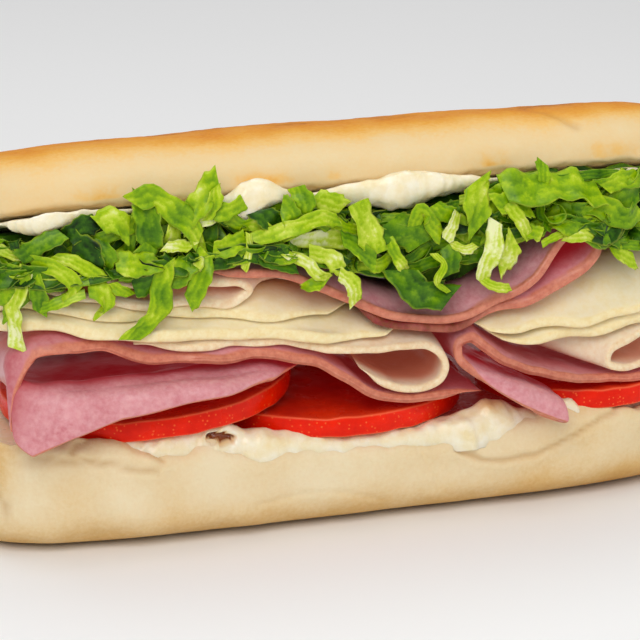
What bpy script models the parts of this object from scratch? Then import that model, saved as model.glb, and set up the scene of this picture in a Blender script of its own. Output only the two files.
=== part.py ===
"""Submarine sandwich: a split roll filled with tomato, ham, turkey, cheese, lettuce and mayonnaise.

The roll lies along X with its base on z = 0. The fillings are laid out in a level stack and one
smooth settling function bends the whole stack, so that no layer can pass through its neighbour.
"""
import math
import random

import bmesh
import bpy
import numpy as np
from mathutils import Vector
from mathutils.bvhtree import BVHTree

MM = 0.001

# Roll, in millimetres
ROLL_HALF_LENGTH = 84.0
ROLL_HALF_WIDTH = 36.0
PLAN_POWER = 5.0
BASE_WIDEST_Z = 10.0
BASE_DROP = 13.8
BASE_LIFT = 3.0
BASE_CUT_RIGHT = 15.3
BASE_CUT_LEFT = 17.3
LID_TILT = math.radians(18.5)
LID_CENTRE_Z = 61.6
LID_RISE = 17.0

# Fillings, in millimetres
CLEAR = 0.35
FILL_HALF_LENGTH = 81.5
FILL_HALF_WIDTH = 35.0
HAM_THICK = 2.0
TURKEY_THICK = 1.8
CHEESE_THICK = 2.4
CHEESE_THICK_LOW = 2.8
TOMATO_THICK = 4.6
TOMATO_RADIUS = 32.0
SHRED_THICK = 1.0
SHRED_WIDTH = (3.4, 6.0)
FRONT_SHREDS = 26
BACK_SHREDS = 10
LONG_SHREDS = [(-73.0, 20.0), (-60.0, 14.0), (-50.0, 22.0), (-38.0, 15.0), (-3.0, 12.0),
               (9.0, 13.0), (23.0, 15.0)]
FRONT_PLANE = -36.0
SAG_DEPTH = 10.0
SAG_RISE = 4.2
BACK_SQUEEZE = 0.60

# Colours, linear
CRUST = (0.78, 0.50, 0.22)
CRUMB = (0.84, 0.68, 0.42)
MAYO = (0.90, 0.82, 0.62)
HAM = (0.72, 0.30, 0.32)
TURKEY = (0.88, 0.74, 0.54)
CHEESE = (0.90, 0.78, 0.48)
TOMATO = (0.62, 0.02, 0.01)
LETTUCE = (0.28, 0.50, 0.03)


def clamp(value, low=0.0, high=1.0):
    """Value held between low and high."""
    return max(low, min(high, value))


def smooth(low, high, value):
    """Smooth step from 0 at low to 1 at high."""
    t = clamp((value - low) / (high - low))
    return t * t * (3.0 - 2.0 * t)


def taper(x, half_length, power=PLAN_POWER):
    """Plan width factor of a rounded bar at x."""
    return max(0.0, 1.0 - abs(x / half_length) ** power) ** (1.0 / power)


def signed_power(value, exponent):
    """Power that keeps the sign."""
    return math.copysign(abs(value) ** exponent, value)


def base_cut(x):
    """Level of the cut face of the lower half."""
    return BASE_CUT_RIGHT + (BASE_CUT_LEFT - BASE_CUT_RIGHT) * smooth(-5.0, -75.0, x)


def base_top(x, y):
    """Height of the lower half's upper surface at a plan point."""
    t = taper(x, ROLL_HALF_LENGTH)
    across = clamp(abs(y) / max(ROLL_HALF_WIDTH * t, 0.01))
    dome = (1.0 - across ** 5.0) ** 0.2
    return BASE_WIDEST_Z + (base_cut(x) - BASE_WIDEST_Z) * t ** 0.35 * dome


def lid_point(x, across, up):
    """Point given in the tilted frame of the upper half."""
    y = across * math.cos(LID_TILT) + up * math.sin(LID_TILT)
    z = LID_CENTRE_Z - across * math.sin(LID_TILT) + up * math.cos(LID_TILT)
    return x, y, z


def lid_plane(y):
    """Height of the upper half's cut face at y."""
    return LID_CENTRE_Z - y * math.tan(LID_TILT)


def settle(x, y, z):
    """Bend the level stack: it rises behind the front edge and is squeezed toward the back."""
    front = clamp((-26.0 - y) / SAG_DEPTH)
    rise = SAG_RISE * smooth(26.0, 44.0, z) * (1.0 - 0.8 * smooth(48.0, 64.0, z))
    rise *= 1.0 - front * front
    squeeze = 1.0 - (1.0 - BACK_SQUEEZE) * smooth(-30.0, 34.0, y)
    height = z + rise * (1.0 - smooth(-24.0, 10.0, y))
    if height > 24.0:
        height = 24.0 + (height - 24.0) * squeeze
    wave = 0.5 * math.sin(x * 0.11 + 0.6) * math.sin(y * 0.09 + 0.4) * smooth(26.0, 40.0, z)
    return x, y, height + wave


class Profile:
    """Smooth curve through a few points in the XZ plane."""

    def __init__(self, points):
        self.points = np.array(points, dtype=float)
        chords = np.linalg.norm(np.diff(self.points, axis=0), axis=1)
        self.steps = np.sqrt(np.maximum(chords, 1e-6))
        slopes = np.diff(self.points, axis=0) / self.steps[:, None]
        inner = [(self.steps[i + 1] * slopes[i] + self.steps[i] * slopes[i + 1])
                 / (self.steps[i] + self.steps[i + 1]) for i in range(len(slopes) - 1)]
        self.slopes = np.array([slopes[0]] + inner + [slopes[-1]])

    def at(self, t):
        """Point at t, counted in control points."""
        i = int(clamp(math.floor(t), 0, len(self.points) - 2))
        f = t - i
        h = self.steps[i]
        a = 2 * f ** 3 - 3 * f ** 2 + 1
        b = f ** 3 - 2 * f ** 2 + f
        c = f ** 3 - f ** 2
        return (a * self.points[i] + b * h * self.slopes[i]
                + (1 - a) * self.points[i + 1] + c * h * self.slopes[i + 1])

    def stations(self, count):
        """Values of t, closer together where the curve bends."""
        ts = np.linspace(0.0, len(self.points) - 1.0, 40 * len(self.points))
        pts = np.array([self.at(t) for t in ts])
        runs = np.diff(pts, axis=0)
        lengths = np.linalg.norm(runs, axis=1)
        turns = np.arctan2(runs[:, 1], runs[:, 0])
        bends = np.abs(np.angle(np.exp(1j * np.diff(turns, prepend=turns[0]))))
        weight = np.concatenate([[0.0], np.cumsum(lengths + 9.0 * bends)])
        return np.interp(np.linspace(0.0, weight[-1], count), weight, ts)


def fresh_mesh(bm, name):
    """Mesh made from a bmesh, which is freed."""
    mesh = bpy.data.meshes.new(name)
    bm.to_mesh(mesh)
    bm.free()
    return mesh


def add_object(name, mesh, collection):
    """Object with this mesh, linked to the collection."""
    obj = bpy.data.objects.new(name, mesh)
    collection.objects.link(obj)
    return obj


def evaluated_mesh(obj):
    """Mesh of the object with its modifiers applied."""
    graph = bpy.context.evaluated_depsgraph_get()
    return bpy.data.meshes.new_from_object(obj.evaluated_get(graph), depsgraph=graph)


def triangulated(bm):
    """Split every face of the bmesh into triangles."""
    bmesh.ops.triangulate(bm, faces=bm.faces[:], quad_method="FIXED", ngon_method="BEAUTY")


def shell_from_grid(name, columns, rows, place, thickness, collection):
    """Thin closed sheet: a grid placed by a function, then thickened to both sides."""
    bm = bmesh.new()
    bmesh.ops.create_grid(bm, x_segments=columns - 1, y_segments=rows - 1, size=1.0)
    for vert in bm.verts:
        i = round((vert.co.x + 1.0) * 0.5 * (columns - 1))
        j = round((vert.co.y + 1.0) * 0.5 * (rows - 1))
        vert.co = place(i, j)
    triangulated(bm)
    obj = add_object(name, fresh_mesh(bm, name), collection)
    thicken = obj.modifiers.new("Thickness", "SOLIDIFY")
    thicken.thickness = thickness
    thicken.offset = 0.0
    thicken.use_even_offset = True
    thicken.use_quality_normals = True
    bpy.context.view_layer.update()
    mesh = evaluated_mesh(obj)
    obj.modifiers.clear()
    obj.data = mesh
    return obj


def finish(obj, material, move=None):
    """Move the vertices by a function, scale to metres, tidy the faces and set the material."""
    bm = bmesh.new()
    bm.from_mesh(obj.data)
    for vert in bm.verts:
        place = move(*vert.co) if move else vert.co
        vert.co = (Vector(place) + Vector((0.0, 0.0, BASE_LIFT))) * MM
    triangulated(bm)
    bmesh.ops.recalc_face_normals(bm, faces=bm.faces[:])
    bm.to_mesh(obj.data)
    bm.free()
    obj.data.materials.clear()
    obj.data.materials.append(material)
    obj.data.shade_smooth()
    obj.data.set_sharp_from_angle(angle=math.radians(35.0))
    return obj


def make_material(name, colour, roughness):
    """Plain Principled material."""
    material = bpy.data.materials.new(name)
    material.use_nodes = True
    shader = material.node_tree.nodes["Principled BSDF"]
    shader.inputs["Base Color"].default_value = (*colour, 1.0)
    shader.inputs["Roughness"].default_value = roughness
    shader.inputs["Metallic"].default_value = 0.0
    return material


def rounded_bar(name, rings, sides, place, collection):
    """Sphere with its poles on the X axis, remapped by a function of axis, ring radius and angle."""
    bm = bmesh.new()
    bmesh.ops.create_uvsphere(bm, u_segments=sides, v_segments=rings, radius=1.0)
    for vert in bm.verts:
        axis, ring = vert.co.z, math.hypot(vert.co.x, vert.co.y)
        angle = math.atan2(vert.co.y, vert.co.x) if ring > 1e-4 else 0.0
        vert.co = place(clamp(axis, -1.0, 1.0), min(ring, 1.0) if ring > 1e-4 else 0.0, angle)
    return add_object(name, fresh_mesh(bm, name), collection)


def place_base(axis, ring, angle):
    """Point of the lower half of the roll."""
    x = ROLL_HALF_LENGTH * signed_power(axis, 2.0 / PLAN_POWER)
    t = ring ** (2.0 / PLAN_POWER)
    side, up = math.cos(angle), math.sin(angle)
    if up >= 0.0:
        y = ROLL_HALF_WIDTH * t * signed_power(side, 0.4)
        return x, y, base_top(x, y)
    y = ROLL_HALF_WIDTH * t * signed_power(side, 0.5)
    z = BASE_WIDEST_Z - BASE_DROP * t ** 0.25 * abs(up) ** 0.5
    return x, y, max(z, -BASE_LIFT)


def place_lid(axis, ring, angle):
    """Point of the upper half of the roll."""
    x = ROLL_HALF_LENGTH * signed_power(axis, 2.0 / PLAN_POWER)
    t = ring ** (2.0 / PLAN_POWER)
    side, up = math.cos(angle), math.sin(angle)
    if up >= 0.0:
        across = ROLL_HALF_WIDTH * t * signed_power(side, 2.0 / 2.3)
        return lid_point(x, across, 3.0 + (LID_RISE - 3.0) * t ** 0.6 * up ** (2.0 / 2.3))
    across = ROLL_HALF_WIDTH * t * signed_power(side, 0.4)
    return lid_point(x, across, 3.0 - 3.0 * t ** 0.3 * abs(up) ** 0.4)


def lens(name, rings, sides, top, bottom, edge, collection):
    """Flat closed layer: a sphere whose two halves follow two height functions."""
    bm = bmesh.new()
    bmesh.ops.create_uvsphere(bm, u_segments=sides, v_segments=rings, radius=1.0)
    for vert in bm.verts:
        ring = math.hypot(vert.co.x, vert.co.y)
        angle = math.atan2(vert.co.y, vert.co.x) if ring > 1e-4 else 0.0
        reach = min(ring, 1.0) * edge(angle)
        x = FILL_HALF_LENGTH * reach * signed_power(math.cos(angle), 2.0 / PLAN_POWER)
        y = FILL_HALF_WIDTH * reach * signed_power(math.sin(angle), 2.0 / PLAN_POWER)
        if vert.co.z > 0.01:
            z = top(x, y, ring)
        elif vert.co.z < -0.01:
            z = bottom(x, y, ring)
        else:
            z = 0.5 * (top(x, y, 1.0) + bottom(x, y, 1.0))
        vert.co = (x, y, z)
    return add_object(name, fresh_mesh(bm, name), collection)


def bump(value, centre, width):
    """Soft bump of height 1."""
    return math.exp(-((value - centre) / width) ** 2)


def tomato_slice(name, centre, radius, low, slope, thickness, sides, collection):
    """Round slice, tilted along X."""
    bm = bmesh.new()
    bmesh.ops.create_cone(bm, cap_ends=True, cap_tris=True, segments=sides, radius1=radius,
                          radius2=radius, depth=thickness)
    rims = [e for e in bm.edges if len(e.link_faces) == 2
            and abs(e.link_faces[0].normal.z - e.link_faces[1].normal.z) > 0.5]
    bmesh.ops.bevel(bm, geom=rims, offset=0.5, segments=1, profile=0.5, affect="EDGES")
    for vert in bm.verts:
        x = vert.co.x
        vert.co = (centre[0] + x, centre[1] + vert.co.y,
                   low + thickness * 0.5 + vert.co.z + slope * (x + radius))
    return add_object(name, fresh_mesh(bm, name), collection)


class Sheet:
    """Thin slice that runs through the stack from the front to the back.

    front and back are profile points on the front edge and inside the stack; over, hang and depth
    give for each point how far the slice stands out, how far it hangs and where it ends behind.
    """

    def __init__(self, name, thickness, front, back=None, over=2.0, hang=0.0, depth=1.0,
                 columns=18, ease=16.0, seed=0):
        self.name, self.thickness, self.columns, self.ease = name, thickness, columns, ease
        self.front = Profile(front)
        self.back = Profile(back or front)
        count = len(front)
        self.over = over if isinstance(over, (list, tuple)) else [over] * count
        self.hang = hang if isinstance(hang, (list, tuple)) else [hang] * count
        self.depth = depth if isinstance(depth, (list, tuple)) else [depth] * count
        self.seed = seed
        self.ts = self.front.stations(columns)
        self.hangs = 0 if max(self.hang) == 0.0 else (1 if max(self.hang) < 4.0 else 3)
        self.rows = [0.0] * self.hangs + [0.0, 3.5, 8.0, 15.0, 0.5, 1.0]

    def value(self, values, t):
        """Value at t between the control points."""
        return float(np.interp(t, range(len(values)), values))

    def place(self, i, j):
        """Point of the middle surface at column i and row j."""
        t = float(self.ts[i])
        x0 = float(self.front.at(t)[0])
        reach = FILL_HALF_WIDTH * taper(clamp(x0, -80.0, 80.0), FILL_HALF_LENGTH)
        ripple = 0.7 * math.sin(x0 * 0.17 + self.seed) + 0.4 * math.sin(x0 * 0.39 + 2.0 * self.seed)
        y_front = -(reach + self.value(self.over, t) + ripple)
        y_back = y_front + (2.0 * reach + self.value(self.over, t)) * self.value(self.depth, t)
        row = self.rows[j]
        drop, out = 0.0, 0.0
        if j < self.hangs:
            run = max(0.8, self.value(self.hang, t)) * (1.0 - j / self.hangs)
            bend = min(run / 2.5, math.radians(72.0))
            rest = max(0.0, run - 2.5 * math.radians(72.0))
            out = 2.5 * math.sin(bend) + rest * math.cos(math.radians(72.0))
            drop = 2.5 * (1.0 - math.cos(bend)) + rest * math.sin(math.radians(72.0))
            y = y_front
        elif j < len(self.rows) - 2:
            y = y_front + row * min(1.0, (y_back - y_front) / 32.0)
        else:
            near = y_front + 15.0 * min(1.0, (y_back - y_front) / 32.0)
            y = near + (y_back - near) * row
        share = smooth(0.0, self.ease, y - FRONT_PLANE)
        x, z = self.front.at(t) * (1.0 - share) + self.back.at(t) * share
        return x, y - out, z - drop

    def build(self, material, collection):
        """Closed sheet, settled into the sandwich."""
        obj = shell_from_grid(self.name, self.columns, len(self.rows), self.place,
                              self.thickness, collection)
        return finish(obj, material, settle)


# Slices, as points (x, z) of the level stack at the front edge, in millimetres
SHEETS = [
    ("ham", Sheet("ham_left", HAM_THICK,
                  [(27.0, 25.3), (19.0, 25.1), (11.0, 25.1), (5.5, 26.0), (0.5, 28.2), (-5.0, 31.9),
                   (-11.0, 34.9), (-18.0, 36.8), (-27.0, 38.3), (-37.0, 39.0), (-45.0, 38.9),
                   (-51.0, 39.6), (-57.0, 41.6), (-65.0, 42.5), (-72.0, 41.6), (-76.6, 39.3),
                   (-77.2, 36.6), (-74.0, 34.6), (-66.0, 34.2), (-55.0, 34.0), (-44.0, 34.2),
                   (-32.0, 34.2), (-21.0, 33.7), (-13.0, 32.2)],
                  [(27.0, 25.3), (19.0, 25.1), (11.0, 25.1), (5.5, 25.9), (0.5, 28.2), (-5.0, 31.9),
                   (-11.0, 34.9), (-18.0, 36.8), (-27.0, 38.3), (-37.0, 39.0), (-45.0, 38.9),
                   (-51.0, 39.6), (-57.0, 40.4), (-65.0, 40.6), (-71.0, 39.2), (-75.0, 36.4),
                   (-75.6, 33.6), (-72.6, 31.0), (-66.0, 29.8), (-55.0, 30.2), (-44.0, 31.0),
                   (-32.0, 31.7), (-21.0, 32.1), (-13.0, 32.3)],
                  over=[0.5] * 5 + [1.0] * 8 + [1.6, 2.0, 2.4, 2.8] + [3.0] * 4 + [2.6, 2.2, 2.0],
                  hang=[0.0] * 14 + [1.0, 4.0, 10.0, 14.0, 13.0, 10.5, 8.0, 5.5, 3.5, 2.5],
                  columns=29, seed=1)),
    ("turkey", Sheet("turkey_middle", TURKEY_THICK,
                     [(-51.0, 42.7), (-41.0, 42.0), (-31.0, 41.2), (-18.0, 39.6), (-8.0, 38.3),
                      (2.0, 37.6), (8.0, 37.5), (13.8, 36.7), (17.3, 34.5), (18.5, 31.6),
                      (17.2, 28.9), (13.5, 27.7), (8.0, 28.1), (3.0, 30.3), (-1.5, 33.8)],
                     over=[0.8] * 5 + [1.6] * 3 + [2.2] * 4 + [1.8] * 3,
                     depth=[1.0] * 9 + [0.9, 0.8, 0.65, 0.5, 0.4, 0.35], columns=22, seed=2)),
    ("cheese", Sheet("cheese_left_low", CHEESE_THICK_LOW,
                     [(-79.5, 43.4), (-71.0, 45.7), (-58.0, 46.0), (-44.0, 45.3), (-31.0, 44.2),
                      (-18.0, 42.6), (-8.0, 41.4), (5.0, 40.4)], over=2.2, columns=11, seed=3)),
    ("cheese", Sheet("cheese_left_high", CHEESE_THICK,
                     [(-79.5, 46.6), (-71.0, 48.9), (-58.0, 49.2), (-44.0, 48.5), (-31.0, 47.4),
                      (-18.0, 45.9), (-8.0, 44.8)], over=0.6, columns=10, seed=5)),
    ("turkey", Sheet("turkey_left", TURKEY_THICK,
                     [(-76.0, 51.1), (-66.0, 52.0), (-56.0, 51.9), (-46.8, 51.4), (-36.0, 50.4),
                      (-29.4, 50.1), (-26.0, 52.0), (-28.2, 54.3), (-35.0, 55.0), (-46.0, 55.3),
                      (-57.0, 55.0), (-68.0, 54.2)],
                     [(-76.0, 51.1), (-66.0, 52.0), (-52.0, 51.7), (-38.0, 50.6), (-24.0, 49.3),
                      (-13.0, 47.9), (-8.4, 48.9), (-11.6, 50.4), (-22.0, 52.6), (-34.0, 54.0),
                      (-50.0, 55.0), (-68.0, 54.2)],
                     over=[-1.5, -0.5, 0.5] + [1.0] * 6 + [0.0, -1.5, -3.0], columns=18, seed=4)),
    ("ham", Sheet("ham_top", HAM_THICK,
                  [(-37.0, 58.0), (-30.0, 57.6), (-24.0, 56.8), (-17.0, 55.3), (-10.8, 52.8),
                   (-4.8, 49.6), (2.0, 46.4), (8.8, 44.2), (14.5, 43.3), (21.4, 43.3),
                   (28.3, 44.7), (34.1, 47.0), (38.6, 50.4), (42.1, 54.4), (45.2, 58.2),
                   (48.6, 59.9), (52.2, 58.4), (53.4, 55.0), (51.0, 51.5), (46.5, 48.5),
                   (41.0, 46.0), (35.0, 43.7), (28.5, 41.8), (22.5, 40.6), (16.0, 40.2)],
                  over=[0.5, 1.0, 1.6] + [2.4] * 10 + [1.8] * 4 + [1.2] * 8,
                  depth=[0.9] + [1.0] * 14 + [0.96] * 4 + [0.9] * 4 + [0.8, 0.7],
                  columns=30, seed=6)),
    ("ham", Sheet("ham_right", HAM_THICK,
                  [(77.0, 23.6), (66.0, 23.7), (55.0, 24.8), (45.4, 26.9), (38.3, 29.0),
                   (32.4, 31.5), (27.5, 34.5), (24.4, 36.6), (21.8, 36.0), (21.6, 33.4),
                   (24.0, 31.0), (28.5, 28.9), (34.0, 26.7), (38.5, 24.8), (42.0, 23.2),
                   (44.2, 21.4), (42.8, 19.9), (39.5, 20.4), (36.3, 21.3)],
                  over=[0.4, 0.8, 1.2, 1.4, 1.6, 1.6, 1.4, 1.2, 1.2, 1.4, 1.8, 2.4] + [3.0] * 7,
                  hang=[0.0] * 11 + [0.6, 1.2, 2.2, 3.0, 3.6, 3.0, 1.8, 0.8],
                  depth=[1.0] * 7 + [0.96, 0.9, 0.85, 0.7, 0.55, 0.3, 0.17, 0.13]
                  + [0.10] * 4, columns=26, seed=7)),
    ("turkey", Sheet("turkey_right", TURKEY_THICK,
                     [(78.0, 33.0), (70.0, 32.9), (62.5, 32.2), (57.8, 30.8), (57.4, 28.3),
                      (60.6, 26.8), (68.0, 26.3), (78.0, 26.3)],
                     [(78.0, 39.2), (66.0, 38.8), (54.0, 37.0), (42.0, 34.6), (38.6, 33.4),
                      (42.0, 31.6), (56.0, 29.8), (78.0, 28.6)],
                     over=[0.0, 0.6, 1.4, 1.8, 1.8, 1.8, 1.2, 0.6], columns=16, seed=8)),
    ("cheese", Sheet("cheese_right_low", CHEESE_THICK,
                     [(31.5, 35.1), (40.5, 34.9), (52.0, 34.9), (64.0, 35.6), (77.0, 36.2)],
                     [(31.5, 35.1), (40.5, 37.2), (50.0, 40.4), (64.0, 43.2), (77.0, 43.6)],
                     over=0.8, columns=9, ease=14.0, seed=9)),
    ("cheese", Sheet("cheese_right_high", CHEESE_THICK,
                     [(27.5, 37.9), (36.0, 38.2), (48.0, 38.4), (62.0, 39.4), (77.0, 40.2)],
                     [(27.5, 37.9), (36.0, 39.7), (48.0, 43.7), (62.0, 47.0), (77.0, 47.4)],
                     over=1.6, columns=9, ease=14.0, seed=10)),
]

# Upper boundary of the stack under the lettuce, as points (x, z)
STACK_TOP = [(-82.0, 53.5), (-70.0, 56.2), (-56.0, 57.6), (-44.0, 58.6), (-34.0, 60.3),
             (-24.0, 59.9), (-15.0, 58.3), (-7.0, 54.8), (2.0, 50.6), (9.0, 47.2), (16.0, 46.2),
             (23.0, 46.9), (30.0, 50.2), (36.0, 55.0), (41.0, 59.8), (45.0, 62.2), (51.0, 62.2),
             (56.0, 59.5), (60.0, 54.0), (66.0, 50.6), (74.0, 50.6), (82.0, 50.4)]


def stack_top(x, y):
    """Height just above the slices at a plan point."""
    xs = [p[0] for p in STACK_TOP]
    zs = [p[1] for p in STACK_TOP]
    return settle(x, y, float(np.interp(x, xs, zs)))[2]


def mayo_low_edge(angle):
    """Reach of the lower mayonnaise around the roll, shorter at the left of the front."""
    x = FILL_HALF_LENGTH * signed_power(math.cos(angle), 2.0 / PLAN_POWER)
    short = 0.13 * smooth(-54.0, -68.0, x) * smooth(0.0, 0.5, -math.sin(angle))
    return 0.985 - short + 0.018 * math.sin(9.0 * angle + 0.7) + 0.012 * math.sin(17.0 * angle)


def mayo_low_top(x, y, ring):
    """Upper surface of the lower mayonnaise, lumpy along the front."""
    lump = 1.6 * bump(x, -47.0, 9.0) * smooth(-16.0, -30.0, y)
    round_off = math.sqrt(max(0.0, 1.0 - ring ** 6))
    return base_top(x, y) + CLEAR + 0.6 + (0.7 + lump) * round_off


def mayo_high_edge(angle):
    """Reach of the upper mayonnaise."""
    front = smooth(0.2, 0.9, -math.sin(angle))
    x = FILL_HALF_LENGTH * signed_power(math.cos(angle), 2.0 / PLAN_POWER)
    lobes = bump(x, -68.0, 12.0) + bump(x, -22.0, 8.0) + 0.9 * bump(x, 8.0, 13.0)
    return 0.955 + front * 0.032 * lobes + 0.008 * math.sin(13.0 * angle)


def mayo_high_under(x, y, ring):
    """Lower surface of the upper mayonnaise, with three lobes at the front."""
    lobes = 1.8 * bump(x, -68.0, 10.0) + 2.6 * bump(x, -25.0, 5.0) + 1.6 * bump(x, 8.0, 12.0)
    front = smooth(-22.0, -32.0, y)
    round_off = math.sqrt(max(0.0, 1.0 - ring ** 8))
    return lid_plane(y) - CLEAR - 0.5 - (0.9 + front * lobes) * round_off


def shred(name, points, widths, twist, collection, thickness):
    """Narrow leaf strip that follows a line of points."""
    count = len(points)

    def place(i, j):
        ahead = points[min(j + 1, count - 1)] - points[max(j - 1, 0)]
        side = Vector((math.cos(twist), math.sin(twist), 0.25)).normalized()
        side = (side - ahead.normalized() * side.dot(ahead.normalized())).normalized()
        return points[j] + side * widths[j] * (i - 0.5)

    obj = shell_from_grid(name, 2, count, place, thickness, collection)
    for vert in obj.data.vertices:
        vert.co = (vert.co + Vector((0.0, 0.0, BASE_LIFT))) * MM
    return obj


def hanging_line(rng, x, z, side, length, lift):
    """Centre line of a shred that comes out of the stack and falls over its edge."""
    reach = FILL_HALF_WIDTH * taper(clamp(x, -79.0, 79.0), FILL_HALF_LENGTH)
    sway = rng.uniform(-0.35, 0.35)
    out = [Vector((x, side * (reach - 9.0), z)),
           Vector((x + sway * 3.0, side * (reach - 1.0), z + 0.4 * lift))]
    steps = 4
    for k in range(1, steps + 1):
        f = k / steps
        down = length * f
        flare = 3.4 + 1.8 * math.sin(f * 2.6)
        y = side * (reach + flare)
        climb = lift * math.sin(min(f * 2.2, 1.0) * math.pi)
        out.append(Vector((x + sway * (3.0 + down) + 1.2 * math.sin(f * 5.0 + x), y,
                           z + climb - down * (0.35 + 0.65 * f))))
    return out


def bvh_of(obj):
    """Search tree of an object's faces."""
    bm = bmesh.new()
    bm.from_mesh(obj.data)
    tree = BVHTree.FromBMesh(bm)
    bm.free()
    return tree


def lettuce_core(collection):
    """Body of the lettuce layer between the slices and the upper half."""
    columns, rows = 29, 6
    bm = bmesh.new()
    bmesh.ops.create_grid(bm, x_segments=columns - 1, y_segments=rows - 1, size=1.0)
    for vert in bm.verts:
        x = 79.0 * vert.co.x
        y = vert.co.y * 33.0 * taper(x, FILL_HALF_LENGTH)
        vert.co = (x, y, stack_top(x, y) + 0.6)
    made = bmesh.ops.extrude_face_region(bm, geom=bm.faces[:])
    for vert in [g for g in made["geom"] if isinstance(g, bmesh.types.BMVert)]:
        x, y = vert.co.x, vert.co.y
        vert.co.z = max(mayo_high_under(x, y, 0.5) - 0.6, stack_top(x, y) + 1.2)
    bmesh.ops.recalc_face_normals(bm, faces=bm.faces[:])
    for vert in bm.verts:
        vert.co = (vert.co + Vector((0.0, 0.0, BASE_LIFT))) * MM
    return add_object("lettuce", fresh_mesh(bm, "lettuce"), collection)


def build_lettuce(material, collection, cutters, others):
    """Core with the shreds that show fused on."""
    core = lettuce_core(collection)
    rng = random.Random(20)
    trees = [bvh_of(o) for o in others]
    plans = [(x, -1.0, length, 0.35) for x, length in LONG_SHREDS]
    plans += [(-73.0 + 146.0 * (k + rng.uniform(0.2, 0.8)) / FRONT_SHREDS, -1.0,
               rng.uniform(4.0, 11.0), rng.uniform(0.3, 0.95)) for k in range(FRONT_SHREDS)]
    plans += [(-73.0 + 146.0 * (k + rng.uniform(0.2, 0.8)) / BACK_SHREDS, 1.0,
               rng.uniform(4.0, 12.0), rng.uniform(0.2, 0.8)) for k in range(BACK_SHREDS)]
    kept = 0
    for x, side, length, level in plans:
        y = side * 26.0
        floor = stack_top(x, y) + 1.6
        ceiling = lid_plane(y) - 3.4
        z = floor + (ceiling - floor) * level
        lift = rng.uniform(0.0, 4.0) if side < 0 else rng.uniform(0.0, 1.5)
        line = hanging_line(rng, x, z, side, length, lift)
        base = rng.uniform(*SHRED_WIDTH)
        widths = [base * rng.uniform(0.85, 1.15) for _ in line]
        twist = rng.uniform(-0.5, 0.5)
        while len(line) >= 4:
            fat = shred("probe", line, widths, twist, cutters, SHRED_THICK + 0.7)
            tree = bvh_of(fat)
            hit = any(tree.overlap(other) for other in trees)
            bpy.data.objects.remove(fat)
            if not hit:
                break
            line = line[:-1]
            widths = widths[:-1]
        if len(line) < 4:
            continue
        shred("shred_%02d" % kept, line, widths, twist, cutters, SHRED_THICK)
        kept += 1
    union = core.modifiers.new("Shreds", "BOOLEAN")
    union.operation = "UNION"
    union.operand_type = "COLLECTION"
    union.collection = cutters
    union.solver = "MANIFOLD"
    bpy.context.view_layer.update()
    mesh = evaluated_mesh(core)
    core.modifiers.clear()
    core.data = mesh
    for obj in list(cutters.objects):
        bpy.data.objects.remove(obj)
    drop_scraps(core.data)
    core.data.materials.clear()
    core.data.materials.append(material)
    core.data.shade_smooth()
    core.data.set_sharp_from_angle(angle=math.radians(35.0))
    return core


def drop_scraps(mesh):
    """Keep only the largest connected body of a mesh."""
    bm = bmesh.new()
    bm.from_mesh(mesh)
    left = set(bm.verts)
    bodies = []
    while left:
        start = left.pop()
        body, queue = {start}, [start]
        while queue:
            for edge in queue.pop().link_edges:
                for vert in edge.verts:
                    if vert in left:
                        left.discard(vert)
                        body.add(vert)
                        queue.append(vert)
        bodies.append(body)
    bodies.sort(key=len, reverse=True)
    loose = [v for body in bodies[1:] for v in body]
    bmesh.ops.delete(bm, geom=loose, context="VERTS")
    triangulated(bm)
    bm.to_mesh(mesh)
    bm.free()


def new_collection(name, hidden=False):
    """Collection linked to the scene."""
    collection = bpy.data.collections.new(name)
    bpy.context.scene.collection.children.link(collection)
    collection.hide_render = hidden
    return collection


def build():
    """Build every piece of the sandwich."""
    for obj in list(bpy.data.objects):
        bpy.data.objects.remove(obj)
    sandwich = new_collection("submarine_sandwich")
    cutters = new_collection("shred_pieces", hidden=True)
    mats = {
        "crust": make_material("crust", CRUST, 0.7),
        "crumb": make_material("crumb", CRUMB, 0.7),
        "mayo": make_material("mayo", MAYO, 0.35),
        "ham": make_material("ham", HAM, 0.45),
        "turkey": make_material("turkey", TURKEY, 0.45),
        "cheese": make_material("cheese", CHEESE, 0.45),
        "tomato": make_material("tomato", TOMATO, 0.25),
        "lettuce": make_material("lettuce", LETTUCE, 0.4),
    }
    pieces = []
    pieces.append(finish(rounded_bar("bread_bottom", 20, 32, place_base, sandwich), mats["crumb"]))
    pieces.append(finish(rounded_bar("bread_top", 20, 32, place_lid, sandwich), mats["crust"]))
    low = lens("mayo_bottom", 8, 40, mayo_low_top,
               lambda x, y, ring: base_top(x, y) + CLEAR + 0.1, mayo_low_edge, sandwich)
    pieces.append(finish(low, mats["mayo"]))
    high = lens("mayo_top", 8, 40, lambda x, y, ring: lid_plane(y) - CLEAR,
                mayo_high_under, mayo_high_edge, sandwich)
    pieces.append(finish(high, mats["mayo"]))
    slices = [
        ("tomato_left", (-40.0, -3.5), TOMATO_RADIUS, 19.6, 0.080),
        ("tomato_middle", (0.0, -3.5), TOMATO_RADIUS, 17.9, 0.0),
        ("tomato_right", (58.5, -11.5), 22.5, 17.5, 0.0),
    ]
    for name, centre, radius, low_z, slope in slices:
        disc = tomato_slice(name, centre, radius, low_z, slope, TOMATO_THICK, 28, sandwich)
        pieces.append(finish(disc, mats["tomato"], settle))
    for slot, sheet in SHEETS:
        pieces.append(sheet.build(mats[slot], sandwich))
    pieces.append(build_lettuce(mats["lettuce"], sandwich, cutters, pieces))
    bpy.data.collections.remove(cutters)


build()
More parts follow.
